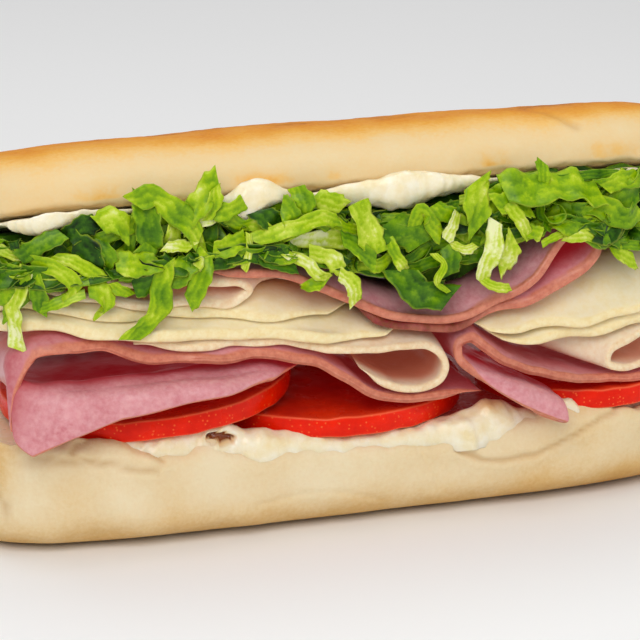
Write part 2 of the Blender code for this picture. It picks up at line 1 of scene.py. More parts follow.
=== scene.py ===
"""Looks of a submarine sandwich: roll halves, spreads, folded slices, tomato and shredded lettuce.

Lengths are millimetres in a level stack, as in the construction. settle() bends the stack, and
to_frame() turns it into metres in the frame.
"""
import logging
import math
from dataclasses import dataclass, field
from enum import Enum
from typing import Any, Callable, Sequence

import bmesh
import bpy
import numpy as np
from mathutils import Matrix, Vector


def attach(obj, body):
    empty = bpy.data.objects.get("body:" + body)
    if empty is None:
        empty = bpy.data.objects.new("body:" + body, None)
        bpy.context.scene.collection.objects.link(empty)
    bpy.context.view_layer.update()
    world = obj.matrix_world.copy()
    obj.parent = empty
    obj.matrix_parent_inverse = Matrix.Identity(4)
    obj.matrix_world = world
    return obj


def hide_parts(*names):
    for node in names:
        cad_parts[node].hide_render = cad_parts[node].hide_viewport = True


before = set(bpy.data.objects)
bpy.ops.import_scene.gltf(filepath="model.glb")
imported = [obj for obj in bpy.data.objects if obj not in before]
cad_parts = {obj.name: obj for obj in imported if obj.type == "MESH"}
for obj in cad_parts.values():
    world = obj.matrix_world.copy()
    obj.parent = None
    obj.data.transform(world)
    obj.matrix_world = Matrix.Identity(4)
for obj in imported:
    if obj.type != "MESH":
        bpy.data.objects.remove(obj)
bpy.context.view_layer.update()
LOG = logging.getLogger("submarine_sandwich")

BODY = "root"
MM = 0.001

# Roll
ROLL_HALF_LENGTH = 84.0
ROLL_HALF_WIDTH = 36.0
PLAN_POWER = 5.0
BASE_WIDEST_Z = 10.0
BASE_DROP = 13.8
BASE_LIFT = 3.0
BASE_CUT_RIGHT = 15.3
BASE_CUT_LEFT = 17.3
LID_TILT = math.radians(18.5)
LID_CENTRE_Z = 61.6
LID_RISE = 17.0
CROWN_POWER = 2.3

# Fillings
FILL_HALF_LENGTH = 81.5
FILL_HALF_WIDTH = 35.0
HEAP_HALF_LENGTH = 81.0
HAM_THICK = 2.0
TURKEY_THICK = 1.8
CHEESE_THICK = 2.4
CHEESE_THICK_LOW = 2.8
TOMATO_THICK = 4.6
TOMATO_RADIUS = 32.0
FRONT_PLANE = -36.0
SAG_DEPTH = 10.0
SAG_RISE = 4.2
BACK_SQUEEZE = 0.60

# Front of the roll, where the grids are finer and the crust is folded
FRONT_FROM = -20.0
FRONT_FULL = -28.0

# Finishes
COAT_ROUGHNESS = 0.18
# Strength of the emission that paints a glow of bounced red light into the shaded hollows
BOUNCE_STRENGTH = 0.30
NO_LIGHT = "000000"

Socket = bpy.types.NodeSocket
Array = np.ndarray
Line = tuple[tuple[float, float], ...]


def spots_at(x: Any, y: Any, z: Any) -> Array:
    """Places from their three coordinates, numbers or arrays."""
    return np.stack(np.broadcast_arrays(x, y, z), axis=-1)


def smooth(low: float, high: float, value: Any) -> Any:
    """Smooth step from 0 at low to 1 at high, for a number or an array."""
    t = np.clip((value - low) / (high - low), 0.0, 1.0)
    return t * t * (3.0 - 2.0 * t)


def taper(x: Any, half_length: float) -> Any:
    """Plan width factor of the rounded bar at x."""
    return np.maximum(0.0, 1.0 - np.abs(x / half_length) ** PLAN_POWER) ** (1.0 / PLAN_POWER)


def width_share(x: Any, y: Any) -> Any:
    """How far y is from the roll's middle, as a share of its half width at x."""
    return y / (ROLL_HALF_WIDTH * np.maximum(taper(x, ROLL_HALF_LENGTH), 0.05))


def at_front(y: Any) -> Any:
    """Share that goes from 0 in the middle of the roll to 1 at its front."""
    return smooth(FRONT_FROM, FRONT_FULL, y)


def signed_power(value: Any, exponent: float) -> Any:
    """Power that keeps the sign."""
    return np.sign(value) * np.abs(value) ** exponent


def bump(value: Any, centre: float, width: float) -> Any:
    """Soft bump of height 1."""
    return np.exp(-((value - centre) / width) ** 2)


def base_cut(x: Any) -> Any:
    """Level of the cut face of the lower half."""
    return BASE_CUT_RIGHT + (BASE_CUT_LEFT - BASE_CUT_RIGHT) * smooth(-5.0, -75.0, x)


def base_top(x: Any, y: Any) -> Any:
    """Height of the lower half's upper surface at a plan point.

    Args:
        x: Places along the roll.
        y: Places across it.

    Returns:
        The heights.
    """
    t = taper(x, ROLL_HALF_LENGTH)
    across = np.clip(np.abs(y) / np.maximum(ROLL_HALF_WIDTH * t, 0.01), 0.0, 1.0)
    dome = (1.0 - across ** PLAN_POWER) ** (1.0 / PLAN_POWER)
    return BASE_WIDEST_Z + (base_cut(x) - BASE_WIDEST_Z) * t ** 0.35 * dome


def lid_plane(y: Any) -> Any:
    """Height of the upper half's cut face at y."""
    return LID_CENTRE_Z - y * math.tan(LID_TILT)


def settle(points: Array) -> Array:
    """Bend the level stack: it rises behind the front edge and is squeezed toward the back.

    Args:
        points: Places in the level stack, in millimetres, the last axis being x, y and z.

    Returns:
        The settled places.
    """
    x, y, z = points[..., 0], points[..., 1], points[..., 2]
    front = np.clip((-26.0 - y) / SAG_DEPTH, 0.0, 1.0)
    rise = SAG_RISE * smooth(26.0, 44.0, z) * (1.0 - 0.8 * smooth(48.0, 64.0, z))
    rise = rise * (1.0 - front * front)
    squeeze = 1.0 - (1.0 - BACK_SQUEEZE) * smooth(-30.0, 34.0, y)
    height = z + rise * (1.0 - smooth(-24.0, 10.0, y))
    height = np.where(height > 24.0, 24.0 + (height - 24.0) * squeeze, height)
    high = smooth(26.0, 40.0, z)
    wave = 0.5 * np.sin(x * 0.11 + 0.6) * np.sin(y * 0.09 + 0.4) * high
    fine = 0.28 * np.sin(x * 0.31 + y * 0.13) * np.sin(y * 0.21 - x * 0.07 + 1.1) * high
    return spots_at(x, y, height + wave + fine)


def to_frame(points: Array) -> Array:
    """Metres in the frame for millimetres in the stack."""
    return (points + np.array([0.0, 0.0, BASE_LIFT])) * MM


def waves(points: Array, size: float, seed: int) -> Array:
    """Soft random unevenness of about one unit, its bumps about size long.

    Args:
        points: Places in the stack.
        size: Length of the bumps.
        seed: Number that fixes them.

    Returns:
        A number for each place.
    """
    rng = np.random.default_rng(seed)
    total = np.zeros(points.shape[:-1])
    for _ in range(9):
        way = rng.normal(size=3)
        way *= 2.0 * math.pi / (np.linalg.norm(way) * size * rng.uniform(0.7, 1.5))
        total += np.sin(points @ way + rng.uniform(0.0, 2.0 * math.pi))
    return total / 3.0


def even_angles(outline: Callable[[Array], Array], count: int) -> Array:
    """Angles that are even along an outline, and closer together at the front.

    Args:
        outline: Gives the places at an array of angles.
        count: Number of angles.

    Returns:
        The angles.
    """
    share = np.linspace(0.0, 1.0, 400, endpoint=False)
    eased = share ** 3 / (share ** 3 + (1.0 - share) ** 3)
    dense = np.concatenate([(eased + k) * math.pi / 2.0 for k in range(4)] + [[2.0 * math.pi]])
    places = outline(dense)
    steps = np.linalg.norm(np.diff(places, axis=0), axis=1)
    steps = steps * np.where(places[1:, 1] < FRONT_FROM, 2.2, 1.0)
    run = np.concatenate([[0.0], np.cumsum(steps)])
    return np.interp(np.linspace(0.0, run[-1], count, endpoint=False), run, dense)


def line_distance(x: Array, z: Array, line: Sequence[tuple[float, float]]) -> Array:
    """Distance from points of the XZ plane to a line of points.

    Args:
        x: Places along the roll.
        z: Their levels.
        line: The line.

    Returns:
        The distances.
    """
    best = np.full(x.shape, 1e3)
    for (ax, az), (bx, bz) in zip(line[:-1], line[1:]):
        dx, dz = bx - ax, bz - az
        share = np.clip(((x - ax) * dx + (z - az) * dz) / (dx * dx + dz * dz), 0.0, 1.0)
        best = np.minimum(best, np.hypot(x - ax - share * dx, z - az - share * dz))
    return best


def paint(code: str) -> tuple[float, float, float, float]:
    """Linear colour of a six-digit sRGB code.

    Args:
        code: The code.

    Returns:
        Red, green, blue and full opacity.
    """
    channels = [int(code[i:i + 2], 16) / 255.0 for i in (0, 2, 4)]
    linear = [c / 12.92 if c <= 0.04045 else ((c + 0.055) / 1.055) ** 2.4 for c in channels]
    return linear[0], linear[1], linear[2], 1.0


class Wiring:
    """Adds and links the nodes of one tree."""

    def __init__(self, tree: bpy.types.NodeTree) -> None:
        """Keep the tree."""
        self.tree = tree

    def feed(self, socket: Socket, value: Any) -> None:
        """Link a socket to another one, or set its value.

        Args:
            socket: Input of a node.
            value: Output to link, or a number.
        """
        if isinstance(value, bpy.types.NodeSocket):
            self.tree.links.new(value, socket)
        else:
            socket.default_value = value

    def add(self, kind: str, inputs: dict | None = None, **settings: Any) -> bpy.types.Node:
        """Add a node.

        Args:
            kind: Blender's name of the node type.
            inputs: Value or socket for each input, by name or number.
            **settings: Properties of the node.

        Returns:
            The node.
        """
        node = self.tree.nodes.new(kind)
        for key, value in settings.items():
            setattr(node, key, value)
        for key, value in (inputs or {}).items():
            self.feed(node.inputs[key], value)
        return node

    def group(self, name: str, inputs: dict) -> bpy.types.Node:
        """Place a shared group with its own values.

        Args:
            name: Name of the group.
            inputs: Its inputs.

        Returns:
            The node.
        """
        node = self.add("ShaderNodeGroup", node_tree=bpy.data.node_groups[name])
        for key, value in inputs.items():
            self.feed(node.inputs[key], value)
        return node

    def math(self, operation: str, first: Any, second: Any = 0.0) -> Socket:
        """Result of one sum."""
        return self.add("ShaderNodeMath", {0: first, 1: second}, operation=operation).outputs[0]

    def plus(self, first: Any, second: Any) -> Socket:
        """First and second added."""
        return self.math("ADD", first, second)

    def times(self, first: Any, second: Any) -> Socket:
        """First and second multiplied."""
        return self.math("MULTIPLY", first, second)

    def swing(self, value: Any, amount: Any) -> Socket:
        """Number around 0, amount wide, for a value from 0 to 1."""
        return self.times(self.math("SUBTRACT", value, 0.5), amount)

    def mottle(self, place: Socket, size: float, contrast: float, shift: float = 0.0) -> Socket:
        """Mask of cloudy patches, from the shared group."""
        inputs = {"Place": place, "Size": size, "Contrast": contrast, "Shift": shift}
        return self.group("mottle", inputs).outputs[0]

    def span(self, value: Any, low: Any, high: Any, start: Any = 0.0, end: Any = 1.0) -> Socket:
        """Smooth step from start to end as the value goes from low to high."""
        ends = {0: value, 1: low, 2: high, 3: start, 4: end}
        return self.add("ShaderNodeMapRange", ends, interpolation_type="SMOOTHSTEP").outputs[0]

    def blend(self, share: Any, first: Any, second: Any, mode: str = "MIX") -> Socket:
        """Colour between two colours.

        Args:
            share: Share of the second colour.
            first: First colour.
            second: Second colour.
            mode: Way to mix them.

        Returns:
            The colour's socket.
        """
        node = self.add("ShaderNodeMix", data_type="RGBA", blend_type=mode)
        for index, value in ((0, share), (6, first), (7, second)):
            self.feed(node.inputs[index], value)
        return node.outputs[2]

    def ramp(self, share: Socket, stops: Sequence[tuple[float, str]]) -> Socket:
        """Colour read from a row of colours, given as sRGB codes.

        Args:
            share: Where to read the row.
            stops: Place and code of each colour.

        Returns:
            The colour's socket.
        """
        node = self.add("ShaderNodeValToRGB", {0: share})
        elements = node.color_ramp.elements
        while len(elements) < len(stops):
            elements.new(1.0)
        for element, (place, code) in zip(elements, stops):
            element.position = place
            element.color = paint(code)
        return node.outputs[0]

    def noise(self, vector: Socket, scale: Any, detail: float = 3.0, rough: float = 0.55) -> Socket:
        """Value of a noise."""
        inputs = {"Vector": vector, "Scale": scale, "Detail": detail, "Roughness": rough}
        return self.add("ShaderNodeTexNoise", inputs).outputs[0]

    def attribute(self, name: str) -> Socket:
        """Value that the piece's points carry."""
        return self.add("ShaderNodeAttribute", attribute_name=name).outputs["Fac"]

    def millimetres(self) -> Socket:
        """Place on the object, in millimetres."""
        place = self.add("ShaderNodeTexCoord").outputs["Object"]
        return self.add("ShaderNodeMapping", {"Vector": place, "Scale": (1e3, 1e3, 1e3)}).outputs[0]


def new_group(name: str, inputs: dict[str, Any], output: str) -> tuple[Wiring, dict, Socket]:
    """Start a shared shader group.

    Args:
        name: Name of the group.
        inputs: Name and first value of each input; a tuple makes a vector.
        output: Name of the one output, a float.

    Returns:
        Its wiring, its input sockets by name, and the socket that takes the result.
    """
    tree = bpy.data.node_groups.new(name, "ShaderNodeTree")
    for key, value in inputs.items():
        kind = "NodeSocketVector" if isinstance(value, tuple) else "NodeSocketFloat"
        tree.interface.new_socket(key, in_out="INPUT", socket_type=kind).default_value = value
    tree.interface.new_socket(output, in_out="OUTPUT", socket_type="NodeSocketFloat")
    wires = Wiring(tree)
    given = wires.add("NodeGroupInput")
    result = wires.add("NodeGroupOutput")
    return wires, {key: given.outputs[key] for key in inputs}, result.inputs[output]


def make_mottle() -> None:
    """Group: cloudy patches of a given size."""
    start = {"Place": (0.0, 0.0, 0.0), "Size": 5.0, "Contrast": 2.0, "Shift": 0.0}
    wires, given, result = new_group("mottle", start, "Mask")
    moved = wires.add("ShaderNodeVectorMath", {0: given["Place"], 1: given["Shift"]}).outputs[0]
    cloud = wires.noise(moved, wires.math("DIVIDE", 1.0, given["Size"]), 4.0, 0.6)
    spread = wires.swing(cloud, given["Contrast"])
    node = wires.add("ShaderNodeMath", {0: spread, 1: 0.5}, operation="ADD", use_clamp=True)
    wires.feed(result, node.outputs[0])


def make_grain() -> None:
    """Group: relief of coarse and fine noise with small pores."""
    start = {"Place": (0.0, 0.0, 0.0), "Coarse": 3.0, "Fine": 0.7, "Pores": 0.0}
    wires, given, result = new_group("grain", start, "Height")
    coarse = wires.noise(given["Place"], wires.math("DIVIDE", 1.0, given["Coarse"]), 3.0)
    fine = wires.noise(given["Place"], wires.math("DIVIDE", 1.0, given["Fine"]), 3.0)
    cells = wires.add("ShaderNodeTexVoronoi", {"Vector": given["Place"], "Scale": 0.9})
    pit = wires.span(cells.outputs["Distance"], 0.0, 0.42, 1.0, 0.0)
    body = wires.plus(wires.times(coarse, 0.65), wires.times(fine, 0.35))
    wires.feed(result, wires.math("SUBTRACT", body, wires.times(pit, given["Pores"])))


def make_moisture() -> None:
    """Group: roughness that changes between dry and wet patches."""
    start = {"Place": (0.0, 0.0, 0.0), "Size": 5.0, "Dry": 0.6, "Wet": 0.3}
    wires, given, result = new_group("moisture", start, "Roughness")
    cloud = wires.noise(given["Place"], wires.math("DIVIDE", 1.0, given["Size"]), 2.0)
    wires.feed(result, wires.span(cloud, 0.38, 0.62, given["Wet"], given["Dry"]))


@dataclass(frozen=True)
class FoodFinish:
    """Finish of one food: its moisture, the relief of its skin and how deep light goes in."""

    name: str
    dry: float = 0.6
    wet: float = 0.45
    patch: float = 6.0
    relief: float = 0.15
    coarse: float = 3.0
    fine: float = 0.7
    pores: float = 0.0
    coat: float = 0.0
    glow: float = 0.0
    glow_depth: float = 1.0
    glow_tint: tuple[float, float, float] = (1.0, 0.6, 0.35)
    shine: float = 0.5
    # Colour of a painted glow of bounced light; NO_LIGHT for no glow
    bounce: str = NO_LIGHT

    def colour(self, wires: Wiring, place: Socket) -> Socket:
        """Colour over the surface."""
        raise NotImplementedError

    def material(self) -> bpy.types.Material:
        """Build the material.

        Returns:
            A material whose colour, roughness and relief come from nodes.
        """
        material = bpy.data.materials.new(self.name)
        material.use_nodes = True
        wires = Wiring(material.node_tree)
        shader = material.node_tree.nodes["Principled BSDF"]
        place = wires.millimetres()
        wires.feed(shader.inputs["Base Color"], self.colour(wires, place))
        damp = {"Place": place, "Size": self.patch, "Dry": self.dry, "Wet": self.wet}
        wires.feed(shader.inputs["Roughness"], wires.group("moisture", damp).outputs[0])
        skin = {"Place": place, "Coarse": self.coarse, "Fine": self.fine, "Pores": self.pores}
        height = wires.group("grain", skin).outputs[0]
        lift = wires.add("ShaderNodeBump", {"Height": height, "Distance": self.relief * MM})
        wires.feed(shader.inputs["Normal"], lift.outputs[0])
        shader.inputs["Coat Weight"].default_value = self.coat
        shader.inputs["Coat Roughness"].default_value = COAT_ROUGHNESS
        shader.inputs["Specular IOR Level"].default_value = self.shine
        shader.inputs["Subsurface Weight"].default_value = self.glow
        shader.inputs["Subsurface Scale"].default_value = self.glow_depth * MM
        shader.inputs["Subsurface Radius"].default_value = self.glow_tint
        # Painted bounce light: emission that glows where the points carry painted shade
        if self.bounce != NO_LIGHT:
            warm = wires.blend(wires.attribute("hollow_shade"), paint(NO_LIGHT), paint(self.bounce))
            wires.feed(shader.inputs["Emission Color"], warm)
            shader.inputs["Emission Strength"].default_value = BOUNCE_STRENGTH
        return material


@dataclass(frozen=True)
class CrustFinish(FoodFinish):
    """Baked roll: cream sides, golden to brown where it was baked, open crumb on the cut and painted shade
    along its creases.
    """

    stops: tuple[tuple[float, str], ...] = ()
    crumb: str = "F6E6C0"
    crease_shade: str = "B98748"

    def colour(self, wires: Wiring, place: Socket) -> Socket:
        """Colour from the bake and cut values that the points carry, with painted shade along the creases.

        Args:
            wires: Tree that the nodes go in.
            place: Place on the piece, in millimetres.

        Returns:
            The colour's socket.
        """
        cloud = wires.mottle(place, 9.0, 2.2)
        speck = wires.mottle(place, 0.9, 3.0)
        shift = wires.plus(wires.swing(cloud, 0.16), wires.swing(speck, 0.10))
        baked = wires.ramp(wires.plus(wires.attribute("bake"), shift), self.stops)
        open_crumb = wires.blend(speck, paint(self.crumb), paint("E9CE97"))
        shown = wires.blend(wires.attribute("cut"), baked, open_crumb)
        # Painted shade along the creases of the crust
        return wires.blend(wires.attribute("crease_shade"), shown, paint(self.crease_shade))


@dataclass(frozen=True)
class SpreadFinish(FoodFinish):
    """Mayonnaise: cream white, a little yellow in patches, painted red shade between meat and tomato."""

    def colour(self, wires: Wiring, place: Socket) -> Socket:
        """Soft change between white and butter yellow.

        Args:
            wires: Tree that the nodes go in.
            place: Place on the piece, in millimetres.

        Returns:
            The colour's socket.
        """
        cloud = wires.mottle(place, 4.0, 2.6)
        stain = wires.attribute("stain")
        cream = wires.blend(cloud, paint("FDF3DA"), paint("F1DEAC"))
        shown = wires.blend(stain, cream, wires.ramp(stain, ((0.6, "DFA868"), (1.0, "8A3F16"))))
        # Painted red shade in the middle of the layer, between meat and tomato
        return wires.blend(wires.attribute("hollow_shade"), shown, paint("8C2A1E"))


@dataclass(frozen=True)
class SliceFinish(FoodFinish):
    """Slice of meat or cheese: a mottled face and a rind along its rim."""

    face: str = "FFFFFF"
    blotch: str = "FFFFFF"
    pale: str = "FFFFFF"
    rind: str = "FFFFFF"
    rind_deep: str = "FFFFFF"
    rind_width: float = 2.6
    # Colour of the painted shade deep in the folds
    hollow_shade: str = "FFFFFF"
    # Roasted skin colour; on ham it is a painted dark red shade
    roast_and_shade: str = "FFFFFF"

    def colour(self, wires: Wiring, place: Socket) -> Socket:
        """Colour from the distance to the rim, painted shade deep in the fold and the roasted share, which
        on ham is painted dark red shade.

        Args:
            wires: Tree that the nodes go in.
            place: Place on the piece, in millimetres.

        Returns:
            The colour's socket.
        """
        big = wires.mottle(place, 7.0, 2.6)
        small = wires.mottle(place, 1.3, 3.0, 31.0)
        flesh = wires.blend(big, paint(self.face), paint(self.blotch))
        flesh = wires.blend(wires.times(small, 0.5), flesh, paint(self.pale))
        # Painted shade: a darker colour deep in the folds of the slice
        flesh = wires.blend(wires.attribute("hollow_shade"), flesh, paint(self.hollow_shade))
        reach = wires.plus(wires.attribute("rim"), wires.swing(big, self.rind_width * 0.7))
        edge = wires.span(reach, self.rind_width * 0.35, self.rind_width * 1.15, 1.0, 0.0)
        rind = wires.blend(small, paint(self.rind), paint(self.rind_deep))
        shown = wires.blend(edge, flesh, rind)
        # Roasted colour, which on ham is painted dark red shade
        roast_and_shade_mask = wires.times(wires.attribute("roast_and_shade"), wires.span(big, 0.2, 0.7, 0.55, 1.0))
        roast_and_shade_colour = wires.blend(small, paint(self.roast_and_shade), paint("7A3F14"))
        return wires.blend(roast_and_shade_mask, shown, roast_and_shade_colour)


@dataclass(frozen=True)
class TomatoFinish(FoodFinish):
    """Ripe tomato: red skin with tiny pale specks and a lighter cut face."""

    def colour(self, wires: Wiring, place: Socket) -> Socket:
        """Colour from the skin value, with a painted highlight along the upper and lower rims of the skin.

        Args:
            wires: Tree that the nodes go in.
            place: Place on the piece, in millimetres.

        Returns:
            The colour's socket.
        """
        cloud = wires.mottle(place, 6.0, 2.2)
        cells = wires.add("ShaderNodeTexVoronoi", {"Vector": place, "Scale": 0.95})
        speck = wires.span(cells.outputs["Distance"], 0.12, 0.28, 0.55, 0.0)
        skin = wires.blend(cloud, paint("FA2600"), paint("D81600"))
        skin = wires.blend(speck, skin, paint("FF7A3C"))
        flesh = wires.blend(cloud, paint("EE3A10"), paint("CC2008"))
        shown = wires.blend(wires.attribute("skin"), flesh, skin)
        # Painted highlight: pale orange along the rims of the skin
        return wires.blend(wires.attribute("edge"), shown, paint("F58052"))


@dataclass(frozen=True)
class LeafFinish(FoodFinish):
    """Lettuce: from dark green to lime, with pale ribs and pale cut edges."""

    stops: tuple[tuple[float, str], ...] = ()
    edge: str = "BFD440"

    def colour(self, wires: Wiring, place: Socket) -> Socket:
        """Colour from the tone of each strip, its veins and its edges.

        Args:
            wires: Tree that the nodes go in.
            place: Place on the piece, in millimetres.

        Returns:
            The colour's socket.
        """
        cloud = wires.mottle(place, 5.0, 2.6)
        fine = wires.mottle(place, 0.8, 2.0, 13.0)
        across = wires.attribute("across")
        veins = wires.math("SINE", wires.plus(wires.times(across, 9.0), wires.times(cloud, 7.0)))
        shift = wires.plus(wires.swing(cloud, 0.36), wires.times(veins, 0.05))
        shift = wires.plus(shift, wires.swing(fine, 0.12))
        leaf = wires.ramp(wires.plus(wires.attribute("tone"), shift), self.stops)
        rim = wires.span(wires.math("ABSOLUTE", across), 0.86, 0.99, 0.0, 0.40)
        return wires.blend(rim, leaf, paint(self.edge))


class Finishes:
    """All materials of the sandwich, by slot."""

    def __init__(self) -> None:
        """Make the shared groups and then each material."""
        make_mottle()
        make_grain()
        make_moisture()
        crown = ((0.0, "E7CFA0"), (0.25, "E9C992"), (0.45, "EDBE70"), (0.66, "E7A645"),
                 (0.86, "DE8F2F"), (0.95, "CB7E2B"), (1.0, "B56C26"))
        base = ((0.0, "EEDDB8"), (0.30, "E7CD9E"), (0.55, "DBB578"), (0.8, "CB9A55"), (1.0, "A8692A"))
        leaf = ((0.0, "0C2402"), (0.18, "2A5402"), (0.36, "4C7A02"), (0.55, "7CA402"),
                (0.70, "A4C20A"), (0.84, "C8D848"), (1.0, "ECF0B4"))
        bread = {"dry": 0.72, "wet": 0.55, "coarse": 2.4, "fine": 0.6, "glow": 0.08, "glow_depth": 2.0,
                 "shine": 0.1}
        moist = {"dry": 0.46, "wet": 0.30, "glow": 0.15, "glow_depth": 1.0, "shine": 0.35}
        # Among these, the colours for hollows are painted shade, the bounce colours a painted glow of
        # bounced light, and the ham's roasting colour a painted dark red shade; the turkey's is its roasted
        # skin.
        finishes = {
            "crust": CrustFinish("crust_crown", stops=crown, relief=0.10, **bread),
            "crumb": CrustFinish("crust_base", stops=base, relief=0.16, pores=0.15, **bread),
            "mayo": SpreadFinish("mayonnaise", dry=0.34, wet=0.2, coarse=2.5, relief=0.2, coat=0.18,
                                 bounce="7A1C18", glow=0.35, glow_depth=3.0, glow_tint=(1.0, 0.85, 0.6)),
            "ham": SliceFinish("ham", face="DD949A", blotch="CB767E", pale="EBB6B6", rind="DB8C70",
                               rind_deep="C67058", rind_width=1.2, hollow_shade="9A1E28", roast_and_shade="8E2430",
                               bounce="A02028", relief=0.08, coarse=2.0, fine=0.5, coat=0.05,
                               glow_tint=(1.0, 0.35, 0.25), **moist),
            "turkey": SliceFinish("turkey", face="F5E2C2", blotch="ECC9A0", pale="FAEFDA",
                                  rind="F7E4C0", rind_deep="ECCA9C", rind_width=0.8, hollow_shade="BC7A60",
                                  bounce="8E4A38", roast_and_shade="B8702A", relief=0.10, coarse=1.6,
                                  fine=0.5, coat=0.1, glow_tint=(1.0, 0.6, 0.4), **moist),
            "cheese": SliceFinish("cheese", face="F9E9BE", blotch="F4DFA6", pale="FCF1D6",
                                  rind="FAEABC", rind_deep="F3DB9E", rind_width=0.7, hollow_shade="D09048",
                                  roast_and_shade="D9A050", relief=0.05, coarse=3.0, fine=0.8, coat=0.1,
                                  glow_tint=(1.0, 0.75, 0.4), **moist),
            "tomato": TomatoFinish("tomato", dry=0.42, wet=0.26, relief=0.06, coarse=1.2, fine=0.4,
                                   coat=0.02, glow=0.03, glow_depth=1.5, glow_tint=(1.0, 0.2, 0.1),
                                   shine=0.15),
            "lettuce": LeafFinish("lettuce", stops=leaf, dry=0.48, wet=0.28, relief=0.10, coarse=1.4,
                                  fine=0.4, glow=0.15, glow_depth=1.0, glow_tint=(0.6, 1.0, 0.2),
                                  shine=0.2),
        }
        self.by_slot = {slot: finish.material() for slot, finish in finishes.items()}

    def __getitem__(self, slot: str) -> bpy.types.Material:
        """Material of a slot."""
        return self.by_slot[slot]


def mesh_piece(name: str, points: Array, faces: list, material: bpy.types.Material,
               values: dict[str, Array] | None = None) -> bpy.types.Object:
    """Make an object from stack points.

    Args:
        name: Name of the piece.
        points: Places in millimetres, one row each.
        faces: Corner numbers of each face.
        material: Its material.
        values: A number for each point, by name, for the material to read.

    Returns:
        The object, linked to the scene, in metres.
    """
    mesh = bpy.data.meshes.new(name)
    mesh.from_pydata(to_frame(points).tolist(), [], faces)
    for key, numbers in (values or {}).items():
        mesh.attributes.new(key, "FLOAT", "POINT").data.foreach_set("value", np.ravel(numbers))
    bm = bmesh.new()
    bm.from_mesh(mesh)
    bmesh.ops.recalc_face_normals(bm, faces=bm.faces)
    bm.to_mesh(mesh)
    bm.free()
    mesh.shade_smooth()
    mesh.materials.append(material)
    obj = bpy.data.objects.new(name, mesh)
    bpy.context.scene.collection.objects.link(obj)
    return obj


def grid_faces(rows: int, columns: int, start: int = 0, wrap: bool = False) -> list:
    """Faces of a grid of points whose columns may close on themselves.

    Args:
        rows: Rows of points.
        columns: Points in a row.
        start: Number of the first point.
        wrap: Whether each row is closed.

    Returns:
        Corner numbers of each face.
    """
    ends = columns if wrap else columns - 1
    i, j = np.meshgrid(np.arange(rows - 1), np.arange(ends), indexing="ij")
    k = (j + 1) % columns
    quads = np.stack([i * columns + j, i * columns + k, (i + 1) * columns + k, (i + 1) * columns + j],
                     axis=-1)
    return (quads.reshape(-1, 4) + start).tolist()


def sheet_faces(rows: int, columns: int) -> list:
    """Faces of a thin body: a grid of points, the same grid behind it, and the edge between them.

    Args:
        rows: Rows of points.
        columns: Points in a row.

    Returns:
        Corner numbers of each face.
    """
    count = rows * columns
    faces = grid_faces(rows, columns) + [face[::-1] for face in grid_faces(rows, columns, count)]
    index = np.arange(count).reshape(rows, columns)
    border = np.concatenate([index[:-1, 0], index[-1, :-1], index[:0:-1, -1], index[0, :0:-1]])
    for a, b in zip(border.tolist(), np.roll(border, -1).tolist()):
        faces.append([a, b, b + count, a + count])
    return faces


def closed_tube(rings: Array) -> tuple[Array, list]:
    """Closed body from rings of points, the first and last of which are single poles.

    Args:
        rings: Places as an array of ring, point on the ring, and coordinate.

    Returns:
        The points, with each pole once at the end, and the faces.
    """
    count = rings.shape[1]
    inner = rings[1:-1]
    points = np.concatenate([inner.reshape(-1, 3), rings[0, :1], rings[-1, :1]])
    faces = grid_faces(len(inner), count, wrap=True)
    first, last = len(points) - 2, len(points) - 1
    end = (len(inner) - 1) * count
    for j in range(count):
        k = (j + 1) % count
        faces.append([first, k, j])
        faces.append([last, end + j, end + k])
    return points, faces


def place_piece(obj: bpy.types.Object, node: str) -> bpy.types.Object:
    """Let a piece ride on the sandwich in the place of its node.

    Args:
        obj: The piece.
        node: Node that it replaces.

    Returns:
        The piece.
    """
    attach(obj, BODY)
    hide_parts(node)
    LOG.info("%s: %d faces", obj.name, len(obj.data.polygons))
    return obj


@dataclass
class RollHalf:
    """One half of the split roll, from rings along its length."""

    name: str
    slot: str
    middle: int = 300
    ends: int = 26
    around: int = 230

    def place(self, x: Array, t: Array, angle: Array) -> Array:
        """Point of the plain form."""
        raise NotImplementedError

    def dress(self, points: Array) -> tuple[Array, dict[str, Array]]:
        """Uneven points and the values for the material."""
        raise NotImplementedError

    def stations(self) -> tuple[Array, Array]:
        """Places along the roll and their width factors, closer together at the round ends.

        Returns:
            The places and the factors.
        """
        widths = np.linspace(0.0, 0.9, self.ends)
        end = ROLL_HALF_LENGTH * (1.0 - widths ** PLAN_POWER) ** (1.0 / PLAN_POWER)
        middle = np.linspace(-end[-1], end[-1], self.middle)[1:-1]
        x = np.concatenate([-end, middle, end[::-1]])
        return x, np.concatenate([widths, taper(middle, ROLL_HALF_LENGTH), widths[::-1]])

    def build(self, finishes: Finishes) -> bpy.types.Object:
        """Build the half.

        Args:
            finishes: Materials of the sandwich.

        Returns:
            The piece, riding in the place of its node.
        """
        x, t = self.stations()
        angles = even_angles(lambda a: self.place(0.0 * a, 1.0 + 0.0 * a, a), self.around)
        grid_x, grid_a = np.meshgrid(x, angles, indexing="ij")
        grid_t = np.repeat(t[:, None], len(angles), axis=1)
        points, faces = closed_tube(self.place(grid_x, grid_t, grid_a))
        moved, values = self.dress(points)
        return place_piece(mesh_piece(self.name + "_look", moved, faces, finishes[self.slot], values),
                           self.name)


def out_from(points: Array, centre_z: float) -> Array:
    """Directions away from the roll's long axis at a given height."""
    away = points - spots_at(points[:, 0] * 0.92, points[:, 1] * 0.45, centre_z)
    return away / np.maximum(np.linalg.norm(away, axis=1, keepdims=True), 1e-6)


